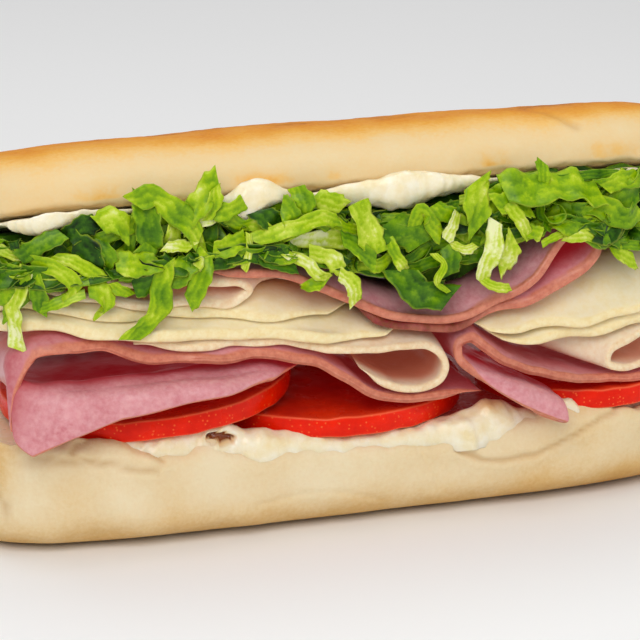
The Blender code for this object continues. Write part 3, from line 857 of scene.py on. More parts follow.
@dataclass
class LowerHalf(RollHalf):
    """Lower half: a soft cream side, a torn lip along the cut and long folds in the crust."""

    lip: Line = (
        (-84.0, 4.0), (-78.0, 6.2), (-72.0, 7.0), (-63.0, 7.4), (-53.5, 6.8), (-48.0, 5.0), (-45.0, 3.6),
        (-40.0, 4.2), (-36.0, 5.6), (-33.0, 5.4), (-29.5, 4.0), (-27.0, 3.0), (-22.0, 2.2), (-16.0, 3.0),
        (-6.0, 2.8), (3.0, 2.4), (7.0, 1.2), (20.0, 1.0), (24.0, 0.7), (28.0, 1.1), (30.5, 2.4),
        (33.0, 3.6), (36.0, 4.2), (45.0, 5.4), (52.0, 5.8), (58.0, 4.2), (62.0, 3.4), (70.0, 2.4),
        (84.0, 1.6))
    folds: tuple[Line, ...] = (
        ((-75.5, 18.0), (-72.0, 18.8), (-65.0, 18.8), (-60.0, 18.0), (-55.0, 17.0), (-46.5, 15.2)),
        ((-64.5, 20.5), (-63.0, 21.8), (-60.0, 22.4), (-55.0, 22.2), (-49.5, 20.2), (-45.5, 17.2)),
        ((21.0, 12.6), (27.0, 9.4), (32.0, 8.6), (39.0, 9.2), (48.0, 12.0), (55.0, 15.4), (60.0, 17.6)),
        ((-81.0, 13.0), (-78.0, 9.0), (-77.0, 4.0)))
    wrinkles: tuple[Line, ...] = (
        ((12.0, 14.0), (14.5, 9.0), (17.0, 4.0)),
        ((-24.0, 5.0), (-12.0, 6.4), (-4.0, 5.4), (4.0, 2.6)))

    def place(self, x: Array, t: Array, angle: Array) -> Array:
        """Point of the plain form.

        Args:
            x: Places along the roll.
            t: Width factors there.
            angle: Angles around the ring.

        Returns:
            The points.
        """
        side, up = np.cos(angle), np.sin(angle)
        y_top = ROLL_HALF_WIDTH * t * signed_power(side, 2.0 / PLAN_POWER)
        y_low = ROLL_HALF_WIDTH * t * signed_power(side, 0.5)
        low = BASE_WIDEST_Z - BASE_DROP * t ** 0.25 * np.abs(up) ** 0.5
        z = np.where(up >= 0.0, base_top(x, y_top), np.maximum(low, -BASE_LIFT))
        return spots_at(x, np.where(up >= 0.0, y_top, y_low), z)

    def dress(self, points: Array) -> tuple[Array, dict[str, Array]]:
        """Raise the lip, press in the folds, paint shade along them and colour the bake.

        Args:
            points: Places of the plain form.

        Returns:
            The moved places and the values bake, cut and painted crease shade.
        """
        x, y, z = points.T
        front = smooth(0.82, 0.93, width_share(x, -y))
        front = front * smooth(83.0, 79.0, np.abs(x))
        high = smooth(8.5, 16.5, z)
        reach = np.interp(x, *np.array(self.lip).T) + 0.5 * waves(points, 5.0, 11)
        moved = points.copy()
        moved[:, 2] += np.maximum(reach, -0.4) * front * high
        out = out_from(points, 7.0)
        flat = smooth(-BASE_LIFT + 0.3, 1.5, z)
        inside = smooth(0.92, 0.80, np.abs(y) / ROLL_HALF_WIDTH) * smooth(9.0, 12.0, z)
        lumps = 0.35 * waves(points, 26.0, 1) + 0.20 * waves(points, 10.0, 2)
        lumps += 0.10 * waves(points, 3.6, 3) * (1.0 - 0.5 * flat)
        moved += out * (lumps * flat * (1.0 - inside))[:, None]
        crease_shade = np.zeros(len(points))
        for fold in self.folds:
            near = line_distance(moved[:, 0], moved[:, 2] + 0.3 * waves(points, 6.0, 7), fold)
            groove = np.exp(-(near / 0.60) ** 2) * at_front(y)
            above = np.exp(-((near - 1.5) / 1.2) ** 2) * at_front(y)
            moved += out * (-0.50 * groove + 0.25 * above)[:, None]
            # Painted shade along the groove of each fold
            crease_shade = np.maximum(crease_shade, 0.42 * groove)
        for wrinkle in self.wrinkles:
            near = line_distance(moved[:, 0], moved[:, 2], wrinkle)
            moved -= out * (0.22 * np.exp(-(near / 0.7) ** 2) * at_front(y))[:, None]
        moved[:, 2] = np.maximum(moved[:, 2], -BASE_LIFT)
        cut = smooth(0.955, 0.90, width_share(x, np.abs(y))) * smooth(11.0, 13.0, z)
        rim = 0.42 * smooth(12.5, 16.0, z) * (0.6 + 0.4 * waves(points, 7.0, 5))
        bake = 0.10 + 0.07 * waves(points, 18.0, 4) + 0.52 * smooth(9.0, -2.6, z) + 0.7 * rim
        bake += 0.16 * smooth(-20.0, 80.0, x) + 0.55 * smooth(-73.0, -80.0, x) * smooth(7.0, 13.0, z)
        bake += 0.5 * smooth(-BASE_LIFT + 0.6, -BASE_LIFT, z)
        return moved, {"bake": np.clip(bake, 0.0, 1.0), "cut": cut, "crease_shade": crease_shade}


@dataclass
class UpperHalf(RollHalf):
    """Upper half: tilted, cream at its side and baked golden on its crown."""

    tan_places: tuple[tuple[float, float, float], ...] = (
        (-56.0, 7.0, 1.0), (-22.0, 9.0, 1.0), (-7.0, 3.0, 0.8), (31.0, 4.0, 1.4), (57.0, 6.0, 1.2))
    folds: tuple[Line, ...] = (
        ((41.0, 16.6), (45.0, 14.2), (48.5, 11.8), (51.0, 9.4)),)

    def place(self, x: Array, t: Array, angle: Array) -> Array:
        """Point of the plain form, in the tilted frame of the half.

        Args:
            x: Places along the roll.
            t: Width factors there.
            angle: Angles around the ring.

        Returns:
            The points.
        """
        side, up = np.cos(angle), np.sin(angle)
        above = up >= 0.0
        across = ROLL_HALF_WIDTH * t * np.where(above, signed_power(side, 2.0 / CROWN_POWER),
                                                signed_power(side, 2.0 / PLAN_POWER))
        crown = 3.0 + (LID_RISE - 3.0) * t ** 0.6 * np.abs(up) ** (2.0 / CROWN_POWER)
        under = 3.0 - 3.0 * t ** 0.3 * np.abs(up) ** 0.4
        return spots_at(x, across, np.where(above, crown, under))

    def dress(self, points: Array) -> tuple[Array, dict[str, Array]]:
        """Make the crown uneven, colour its bake, paint shade along its fold and tilt the half.

        Args:
            points: Places in the tilted frame.

        Returns:
            The places in the stack and the values bake, cut and painted crease shade.
        """
        x, across, up = points.T
        out = out_from(points, 2.0)
        share = width_share(x, np.abs(across))
        face = smooth(1.6, 0.6, up) * smooth(0.97, 0.90, share)
        lumps = 0.40 * waves(points, 34.0, 21) + 0.08 * waves(points, 12.0, 22)
        lumps += 0.03 * waves(points, 3.0, 23)
        moved = points + out * ((lumps - 0.25) * (1.0 - face))[:, None]
        edge = smooth(3.4, 0.4, up) * smooth(0.86, 0.95, share)
        moved[:, 2] += edge * (0.22 * waves(points, 7.0, 24) + 0.10 * waves(points, 2.4, 25))
        tan = sum(most * bump(x, place, width) for place, width, most in self.tan_places)
        crease_shade = np.zeros(len(points))
        for fold in self.folds:
            near = line_distance(x, up + 0.3 * waves(points, 6.0, 27), fold)
            groove = np.exp(-(near / 1.1) ** 2) * at_front(across)
            moved += out * (-0.5 * groove)[:, None]
            # Painted shade along the groove of the fold
            crease_shade = np.maximum(crease_shade, 0.30 * groove)
        crown = smooth(6.5, 17.4, up + 0.45 * waves(points, 20.0, 26))
        bake = 0.06 + 0.84 * crown + 0.03 * waves(points, 14.0, 28)
        bake += 0.03 * crown * waves(points, 40.0, 30)
        bake += 0.10 * crown * smooth(0.0, 50.0, x) * smooth(-10.0, -20.0, across)
        bake += 0.05 * smooth(LID_RISE - 0.8, LID_RISE, up)
        bake += 0.10 * smooth(30.0, ROLL_HALF_LENGTH, np.abs(x)) * (1.0 - 0.6 * crown)
        low = smooth(7.5, 2.0, up) * smooth(1.5, 2.5, up)
        bake += 0.42 * np.clip(tan, 0.0, 1.0) * low * (0.8 + 0.3 * waves(points, 5.0, 29))
        y = moved[:, 1] * math.cos(LID_TILT) + moved[:, 2] * math.sin(LID_TILT)
        z = LID_CENTRE_Z - moved[:, 1] * math.sin(LID_TILT) + moved[:, 2] * math.cos(LID_TILT)
        values = {"bake": np.clip(bake, 0.0, 1.0), "cut": face, "crease_shade": crease_shade}
        return spots_at(moved[:, 0], y, z), values


@dataclass
class Spread:
    """Layer of mayonnaise, as a polar grid with a round edge."""

    name: str
    rings: int = 38
    around: int = 720

    def edge(self, x: Array, angle: Array) -> Array:
        """Reach of the edge in each direction."""
        raise NotImplementedError

    def heights(self, x: Array, y: Array, ring: Array) -> tuple[Array, Array]:
        """Upper and lower surface."""
        raise NotImplementedError

    def build(self, finishes: Finishes) -> bpy.types.Object:
        """Build the layer.

        Args:
            finishes: Materials of the sandwich.

        Returns:
            The piece, riding in the place of its node.
        """
        share = np.linspace(0.0, 1.0, self.rings)
        ring = np.sin(share * math.pi / 2.0) ** 0.8
        grid_r, grid_a = np.meshgrid(ring, even_angles(self.plan, self.around), indexing="ij")
        plan = self.plan(grid_a)
        reach = grid_r * self.edge(plan[..., 0], grid_a)
        x, y = plan[..., 0] * reach, plan[..., 1] * reach
        top, low = self.heights(x, y, grid_r)
        upper = spots_at(x, y, top)
        lower = spots_at(x, y, low)[::-1]
        points, faces = closed_tube(np.concatenate([upper, lower[1:]]))
        moved, values = self.dent(points)
        piece = mesh_piece(self.name + "_look", moved, faces, finishes["mayo"], values)
        return place_piece(piece, self.name)

    def plan(self, angle: Array) -> Array:
        """Edge of the fillings seen from above.

        Args:
            angle: Angles around the edge.

        Returns:
            The x and y of each.
        """
        x = FILL_HALF_LENGTH * signed_power(np.cos(angle), 2.0 / PLAN_POWER)
        y = FILL_HALF_WIDTH * signed_power(np.sin(angle), 2.0 / PLAN_POWER)
        return np.stack([x, y], axis=-1)

    def dent(self, points: Array) -> tuple[Array, dict[str, Array]]:
        """Places after local changes, and the values stain and painted shade."""
        return points, {"stain": np.zeros(len(points)), "hollow_shade": np.zeros(len(points))}


@dataclass
class LowerSpread(Spread):
    """Mayonnaise on the lower half, which creeps over its edge at the front."""

    heap: Line = (
        (-84.0, 0.0), (-62.0, 2.0), (-54.0, 4.4), (-45.0, 4.9), (-36.0, 5.6), (-30.0, 6.2), (-26.5, 5.0),
        (-16.0, 3.0), (-6.0, 1.6), (3.0, 0.9), (12.0, 1.0), (21.0, 2.2), (26.5, 4.2), (29.5, 6.0),
        (33.0, 5.0), (37.0, 2.4), (42.0, 2.4), (46.5, 4.2), (52.0, 4.6), (55.0, 1.6), (84.0, 0.0))
    drips: tuple[tuple[float, float, float], ...] = (
        (-44.0, 5.0, 0.010), (-22.5, 5.5, 0.012), (-34.0, 2.5, 0.012), (23.0, 4.0, 0.034),
        (11.0, 5.0, 0.014), (30.0, 4.0, 0.022))
    hole: tuple[float, float, float, float] = (-31.8, 20.3, 3.3, 1.15)

    def edge(self, x: Array, angle: Array) -> Array:
        """Reach of the edge, longer where it shows at the front and drips over the lip.

        Args:
            x: Places along the roll.
            angle: Angles around the edge.

        Returns:
            The reach, as a share of the fillings.
        """
        front = smooth(0.2, 0.8, -np.sin(angle))
        shown = smooth(-62.0, -54.0, x) * smooth(56.0, 50.0, x)
        spots = spots_at(x, 30.0 * np.sin(angle), 0.0)
        drips = sum(more * bump(x, place, width) for place, width, more in self.drips)
        creep = (0.022 + drips) * shown * front + 0.007 * waves(spots, 8.0, 41)
        return 0.982 + creep + 0.003 * waves(spots, 3.2, 42) - 0.05 * front * (1.0 - shown)

    def dent(self, points: Array) -> tuple[Array, dict[str, Array]]:
        """Press in the small dent at the front and stain it, tint the mound and paint red shade in the
        middle.

        Args:
            points: Places in the stack.

        Returns:
            The moved places and the values.
        """
        x, y, z = points.T
        middle, level, wide, high = self.hole
        near = np.hypot((x - middle) / wide, (z - level - 0.10 * (middle - x)) / high)
        inside = smooth(1.15, 0.75, near) * smooth(-30.0, -33.0, y)
        moved = points + np.outer(inside, (0.0, 2.4, 0.0))
        mound = bump(x, 29.5, 4.2) * smooth(19.2, 21.4, z) * smooth(-28.0, -33.0, y)
        # Painted shade: red in the middle of the layer, between meat and tomato
        middle_shade = smooth(-29.0, -23.0, y) * smooth(27.0, 21.0, y) * smooth(72.0, 62.0, np.abs(x))
        return moved, {"stain": np.clip(2.0 * inside + 0.66 * mound, 0.0, 1.0), "hollow_shade": middle_shade}

    def heights(self, x: Array, y: Array, ring: Array) -> tuple[Array, Array]:
        """Upper and lower surface.

        Args:
            x: Places along the roll.
            y: Places across it.
            ring: Share of the way from the middle to the edge.

        Returns:
            Both levels.
        """
        rounded = np.sqrt(np.maximum(0.0, 1.0 - ring ** 18))
        spots = spots_at(x, y, 0.0)
        uneven = 0.35 * waves(spots, 7.0, 43) + 0.22 * waves(spots, 2.8, 44)
        front = smooth(-26.0, -32.0, y)
        level = base_cut(x) + 1.3 + front * (np.interp(x, *np.array(self.heap).T) + uneven)
        edge = base_top(x, y) + 0.1
        droop = smooth(-35.0, -36.2, y) * (0.9 + 0.5 * waves(spots, 8.0, 45))
        bottom = np.maximum(edge, base_cut(x) - 2.2) - np.maximum(droop, 0.0)
        return bottom + 0.25 + (level - bottom) * rounded, bottom


@dataclass
class UpperSpread(Spread):
    """Mayonnaise under the upper half, with three lobes that swell out at the front."""

    def edge(self, x: Array, angle: Array) -> Array:
        """Reach of the edge, longer at the lobes.

        Args:
            x: Places along the roll.
            angle: Angles around the edge.

        Returns:
            The reach, as a share of the fillings.
        """
        front = smooth(0.2, 0.9, -np.sin(angle))
        lobes = bump(x, -76.0, 18.0) + bump(x, -24.0, 7.0) + bump(x, 9.0, 14.0)
        spots = spots_at(x, 30.0 * np.sin(angle), 0.0)
        return (0.968 + 0.090 * front * np.minimum(1.3 * lobes, 1.0) + 0.007 * waves(spots, 8.0, 51)
                + 0.004 * waves(spots, 3.0, 52))

    def heights(self, x: Array, y: Array, ring: Array) -> tuple[Array, Array]:
        """Upper and lower surface.

        Args:
            x: Places along the roll.
            y: Places across it.
            ring: Share of the way from the middle to the edge.

        Returns:
            Both levels.
        """
        rounded = np.sqrt(np.maximum(0.0, 1.0 - ring ** 22))
        swell = 0.5 + 2.4 * bump(x, -76.0, 21.0) + 4.0 * bump(x, -24.0, 6.0) + 2.5 * bump(x, 8.5, 13.0)
        lobes = 4.4 * bump(x, -78.0, 15.0) + 4.8 * bump(x, -27.0, 4.5) + 3.6 * bump(x, 6.0, 12.0)
        spots = spots_at(x, y, 0.0)
        uneven = 0.5 * waves(spots, 8.0, 53) + 0.3 * waves(spots, 3.0, 54)
        front = smooth(-26.0, -33.0, y)
        over = smooth(-32.4, -34.4, y)
        middle = lid_plane(y) - 0.9
        top = middle + (0.7 + over * (swell + 0.6 * uneven)) * rounded
        low = middle - 0.1 - (0.9 + front * (lobes + uneven)) * rounded
        return top, low


@dataclass
class TomatoSlice:
    """Round slice with skin around its edge."""

    name: str
    centre: tuple[float, float]
    radius: float
    low: float
    slope: float
    seed: int
    around: int = 220

    def build(self, finishes: Finishes) -> bpy.types.Object:
        """Build the slice.

        Args:
            finishes: Materials of the sandwich.

        Returns:
            The piece, riding in the place of its node.
        """
        half = TOMATO_THICK * 0.5
        bevel = 0.55
        turn = np.linspace(math.pi / 2.0, 0.0, 6)
        face = [(share * (self.radius - bevel), half) for share in np.linspace(0.0, 0.99, 22)]
        corner = [(self.radius - bevel + bevel * math.cos(a), half - bevel + bevel * math.sin(a))
                  for a in turn]
        belly = [(self.radius + 0.25 * math.cos(h * math.pi / 2.0), h * (half - bevel))
                 for h in np.linspace(0.8, 0.0, 5)]
        upper = face + corner + belly
        section = np.array(upper + [(r, -h) for r, h in upper[-2::-1]])
        angle = np.linspace(0.0, 2.0 * math.pi, self.around, endpoint=False)
        circle = spots_at(np.cos(angle), np.sin(angle), 0.0)
        wobble = 1.0 + 0.008 * waves(circle * self.radius, 22.0, self.seed)
        r = section[:, :1] * wobble
        x, y = self.centre[0] + r * np.cos(angle), self.centre[1] + r * np.sin(angle)
        z = self.low + half + section[:, 1:] + self.slope * (x - self.centre[0] + self.radius)
        spots = spots_at(x, y, z)
        spots[..., 2] += 0.10 * waves(spots, 5.0, self.seed + 1)
        points, faces = closed_tube(spots)
        side = np.abs(section[:, 1]) < half - 0.12
        ring_skin = np.repeat(side[:, None] * 1.0, self.around, axis=1)
        skin = np.concatenate([ring_skin[1:-1].ravel(), [0.0, 0.0]])
        # Painted highlight along the upper and lower rims of the skin
        edge_highlight = 0.55 * bump(np.abs(section[:, 1]), half - 0.22, 0.16) * (section[:, 0] > self.radius - 1.0)
        edge = np.concatenate([np.repeat(edge_highlight[1:-1], self.around), [0.0, 0.0]])
        piece = mesh_piece(self.name + "_look", settle(points), faces, finishes["tomato"],
                           {"skin": skin, "edge": edge})
        return place_piece(piece, self.name)


class Profile:
    """Smooth curve through a few points in the XZ plane."""

    def __init__(self, points: Sequence[tuple[float, float]]) -> None:
        """Keep the points and work out the slope at each.

        Args:
            points: The points (x, z).
        """
        self.points = np.array(points, dtype=float)
        chords = np.linalg.norm(np.diff(self.points, axis=0), axis=1)
        self.steps = np.sqrt(np.maximum(chords, 1e-6))
        slopes = np.diff(self.points, axis=0) / self.steps[:, None]
        before, after = self.steps[:-1, None], self.steps[1:, None]
        inner = (after * slopes[:-1] + before * slopes[1:]) / (before + after)
        self.slopes = np.concatenate([slopes[:1], inner, slopes[-1:]])

    def at(self, t: Array) -> Array:
        """Points at t, counted in control points.

        Args:
            t: Where to read the curve.

        Returns:
            The points (x, z).
        """
        i = np.clip(np.floor(t), 0, len(self.points) - 2).astype(int)
        f = (t - i)[..., None]
        h = self.steps[i][..., None]
        start = 2 * f ** 3 - 3 * f ** 2 + 1
        leave = f ** 3 - 2 * f ** 2 + f
        arrive = f ** 3 - f ** 2
        return (start * self.points[i] + leave * h * self.slopes[i]
                + (1 - start) * self.points[i + 1] + arrive * h * self.slopes[i + 1])

    def stations(self, count: int) -> Array:
        """Values of t, closer together where the curve bends.

        Args:
            count: Number of values.

        Returns:
            The values.
        """
        ts = np.linspace(0.0, len(self.points) - 1.0, 60 * len(self.points))
        runs = np.diff(self.at(ts), axis=0)
        turns = np.arctan2(runs[:, 1], runs[:, 0])
        bends = np.abs(np.angle(np.exp(1j * np.diff(turns, prepend=turns[0]))))
        weight = np.concatenate([[0.0], np.cumsum(np.linalg.norm(runs, axis=1) + 6.0 * bends)])
        return np.interp(np.linspace(0.0, weight[-1], count), weight, ts)


class Kind(Enum):
    """What a slice is made of; the value is its material slot."""

    HAM = "ham"
    TURKEY = "turkey"
    CHEESE = "cheese"


@dataclass
class FoldedSlice:
    """Thin slice that runs through the stack, given by its profile at the front edge.

    over, hang and depth say for each control point how far the slice stands out, how far it hangs
    and which share of the depth it reaches; a single number holds all along.
    """

    name: str
    kind: Kind
    thickness: float
    front: list[tuple[float, float]]
    back: list[tuple[float, float]] | None = None
    over: list[float] | float = 2.0
    hang: list[float] | float = 0.0
    depth: list[float] | float = 1.0
    seed: int = 0
    columns: int = 210
    ease: float = 16.0
    # Range along the profile whose folds get painted shade
    hollow_shade: tuple[float, float] | None = None
    # Range that gets the roasted colour; on ham it gets painted dark red shade instead
    roast_and_shade: tuple[float, float] | None = None
    thin_start: float = 0.0
    thin_end: float = 0.0
    rind_from: float = 99.0

    def value(self, values: list[float] | float, t: Array) -> Array:
        """Values between the control points.

        Args:
            values: One number, or one for each control point.
            t: Where to read them.

        Returns:
            The values.
        """
        if isinstance(values, list):
            return np.interp(t, np.arange(len(values)), values)
        return np.full(t.shape, float(values))

    def middle(self) -> tuple[Array, Array, Array, Array]:
        """Middle surface of the slice.

        Returns:
            Its points by column and row, and for each the distance from the rim, the run along the
            profile and the place among the control points.
        """
        front, back = Profile(self.front), Profile(self.back or self.front)
        t = front.stations(self.columns)
        x0 = front.at(t)[:, 0]
        reach = FILL_HALF_WIDTH * taper(np.clip(x0, -80.0, 80.0), FILL_HALF_LENGTH)
        ripple = 0.7 * np.sin(x0 * 0.17 + self.seed) + 0.4 * np.sin(x0 * 0.39 + 2.0 * self.seed)
        over, depth, hang = (self.value(v, t) for v in (self.over, self.depth, self.hang))
        y_front = -(reach + over + ripple)
        y_back = y_front + (2.0 * reach + over) * depth
        scale = np.minimum(1.0, (y_back - y_front) / 32.0)
        fine_reach = 15.0
        near = np.concatenate([[0.0, 0.12, 0.35, 0.75, 1.4, 2.3], np.linspace(3.4, fine_reach, 11)])
        rest = np.concatenate([np.linspace(0.0, 0.9, 13)[1:], [0.94, 0.97, 0.985, 0.995, 1.0]])
        fall = np.concatenate([[1.0, 0.99, 0.97, 0.93], np.linspace(0.85, 0.0, 11)[:-1]])
        columns, rims = [], []
        bend_radius, bend_most = 2.5, math.radians(72.0)
        for share in fall if np.max(hang) > 0.0 else []:
            run = np.maximum(0.05, hang) * share
            bend = np.minimum(run / bend_radius, bend_most)
            straight = np.maximum(0.0, run - bend_radius * bend_most)
            out = bend_radius * np.sin(bend) + straight * math.cos(bend_most)
            drop = bend_radius * (1.0 - np.cos(bend)) + straight * math.sin(bend_most)
            columns.append((y_front, out, drop))
            rims.append(hang * (1.0 - share))
        for step in near:
            columns.append((y_front + step * scale, 0.0, 0.0))
            rims.append(hang + step * scale)
        for share in rest:
            start = y_front + fine_reach * scale
            columns.append((start + (y_back - start) * share, 0.0, 0.0))
            rims.append(hang + (y_back - y_front) * share)
        at_front, at_back = front.at(t), back.at(t)
        rows = []
        for y, out, drop in columns:
            share = smooth(0.0, self.ease, y - FRONT_PLANE)[:, None]
            xz = at_front * (1.0 - share) + at_back * share
            rows.append(spots_at(xz[:, 0], y - out, xz[:, 1] - drop))
        points = np.stack(rows, axis=1)
        rim = np.stack(rims, axis=1)
        behind = np.stack([y_back - (y + 0.0 * y_back) for y, _, _ in columns], axis=1)
        run = np.concatenate([[0.0], np.cumsum(np.linalg.norm(np.diff(at_front, axis=0), axis=1))])
        rim = np.minimum(rim, np.maximum(behind, 0.0))
        runs = np.repeat(run[:, None], points.shape[1], axis=1)
        return points, rim, runs, np.repeat(t[:, None], points.shape[1], axis=1)

    def build(self, finishes: Finishes) -> bpy.types.Object:
        """Build the slice.

        Args:
            finishes: Materials of the sandwich.

        Returns:
            The piece, riding in the place of its node.
        """
        points, rim, run, t = self.middle()
        along, inward = np.gradient(points, axis=0), np.gradient(points, axis=1)
        normal = np.cross(along, inward)
        normal /= np.maximum(np.linalg.norm(normal, axis=-1, keepdims=True), 1e-9)
        points = points + normal * (0.10 * waves(points, 7.0, self.seed + 70))[..., None]
        ends = np.minimum(run, np.max(run) - run)
        inner = np.clip(np.minimum(rim, ends) / 0.9, 0.0, 1.0)
        rounding = 0.30 + 0.70 * np.sqrt(1.0 - (1.0 - inner) ** 2)
        for length, away in ((self.thin_start, run), (self.thin_end, np.max(run) - run)):
            if length:
                rounding = rounding * (0.12 + 0.88 * smooth(0.0, length, away))
        offset = normal * (0.5 * self.thickness * rounding)[..., None]
        both = np.concatenate([(points + offset).reshape(-1, 3), (points - offset).reshape(-1, 3)])
        shown_rim = rim * (1.0 + 2.2 * smooth(self.rind_from, self.rind_from + 1.5, t))
        values = {"rim": np.tile(shown_rim.ravel(), 2)}
        # Painted shade mask: it grows behind the front edge, and is fuller on the inner side of the fold
        deep = smooth(-37.0, -30.0, points[..., 1]) * smooth(8.0, -8.0, points[..., 1])
        heading = np.unwrap(np.arctan2(along[:, 0, 2], along[:, 0, 0]))
        facing = (1.0, 0.5) if np.mean(heading) > heading[0] else (0.5, 1.0)
        # On ham the painted shade reaches the rim; the turkey's roasted skin stops 1 mm short of it
        roast_and_shade_mask = rim > (-1.0 if self.kind is Kind.HAM else 1.0)
        for key, span, where, sides in (("hollow_shade", self.hollow_shade, deep, facing),
                                        ("roast_and_shade", self.roast_and_shade, roast_and_shade_mask, (1.0, 1.0))):
            low, high = span or (-9.0, -8.0)
            inside = smooth(low - 0.8, low + 0.8, t) * smooth(high + 0.8, high - 0.8, t)
            mask = (inside * where).ravel()
            values[key] = np.concatenate([mask * sides[0], mask * sides[1]])
        slot = self.kind.value
        piece = mesh_piece(self.name + "_look", settle(both), sheet_faces(*rim.shape), finishes[slot],
                           values)
        return place_piece(piece, self.name)


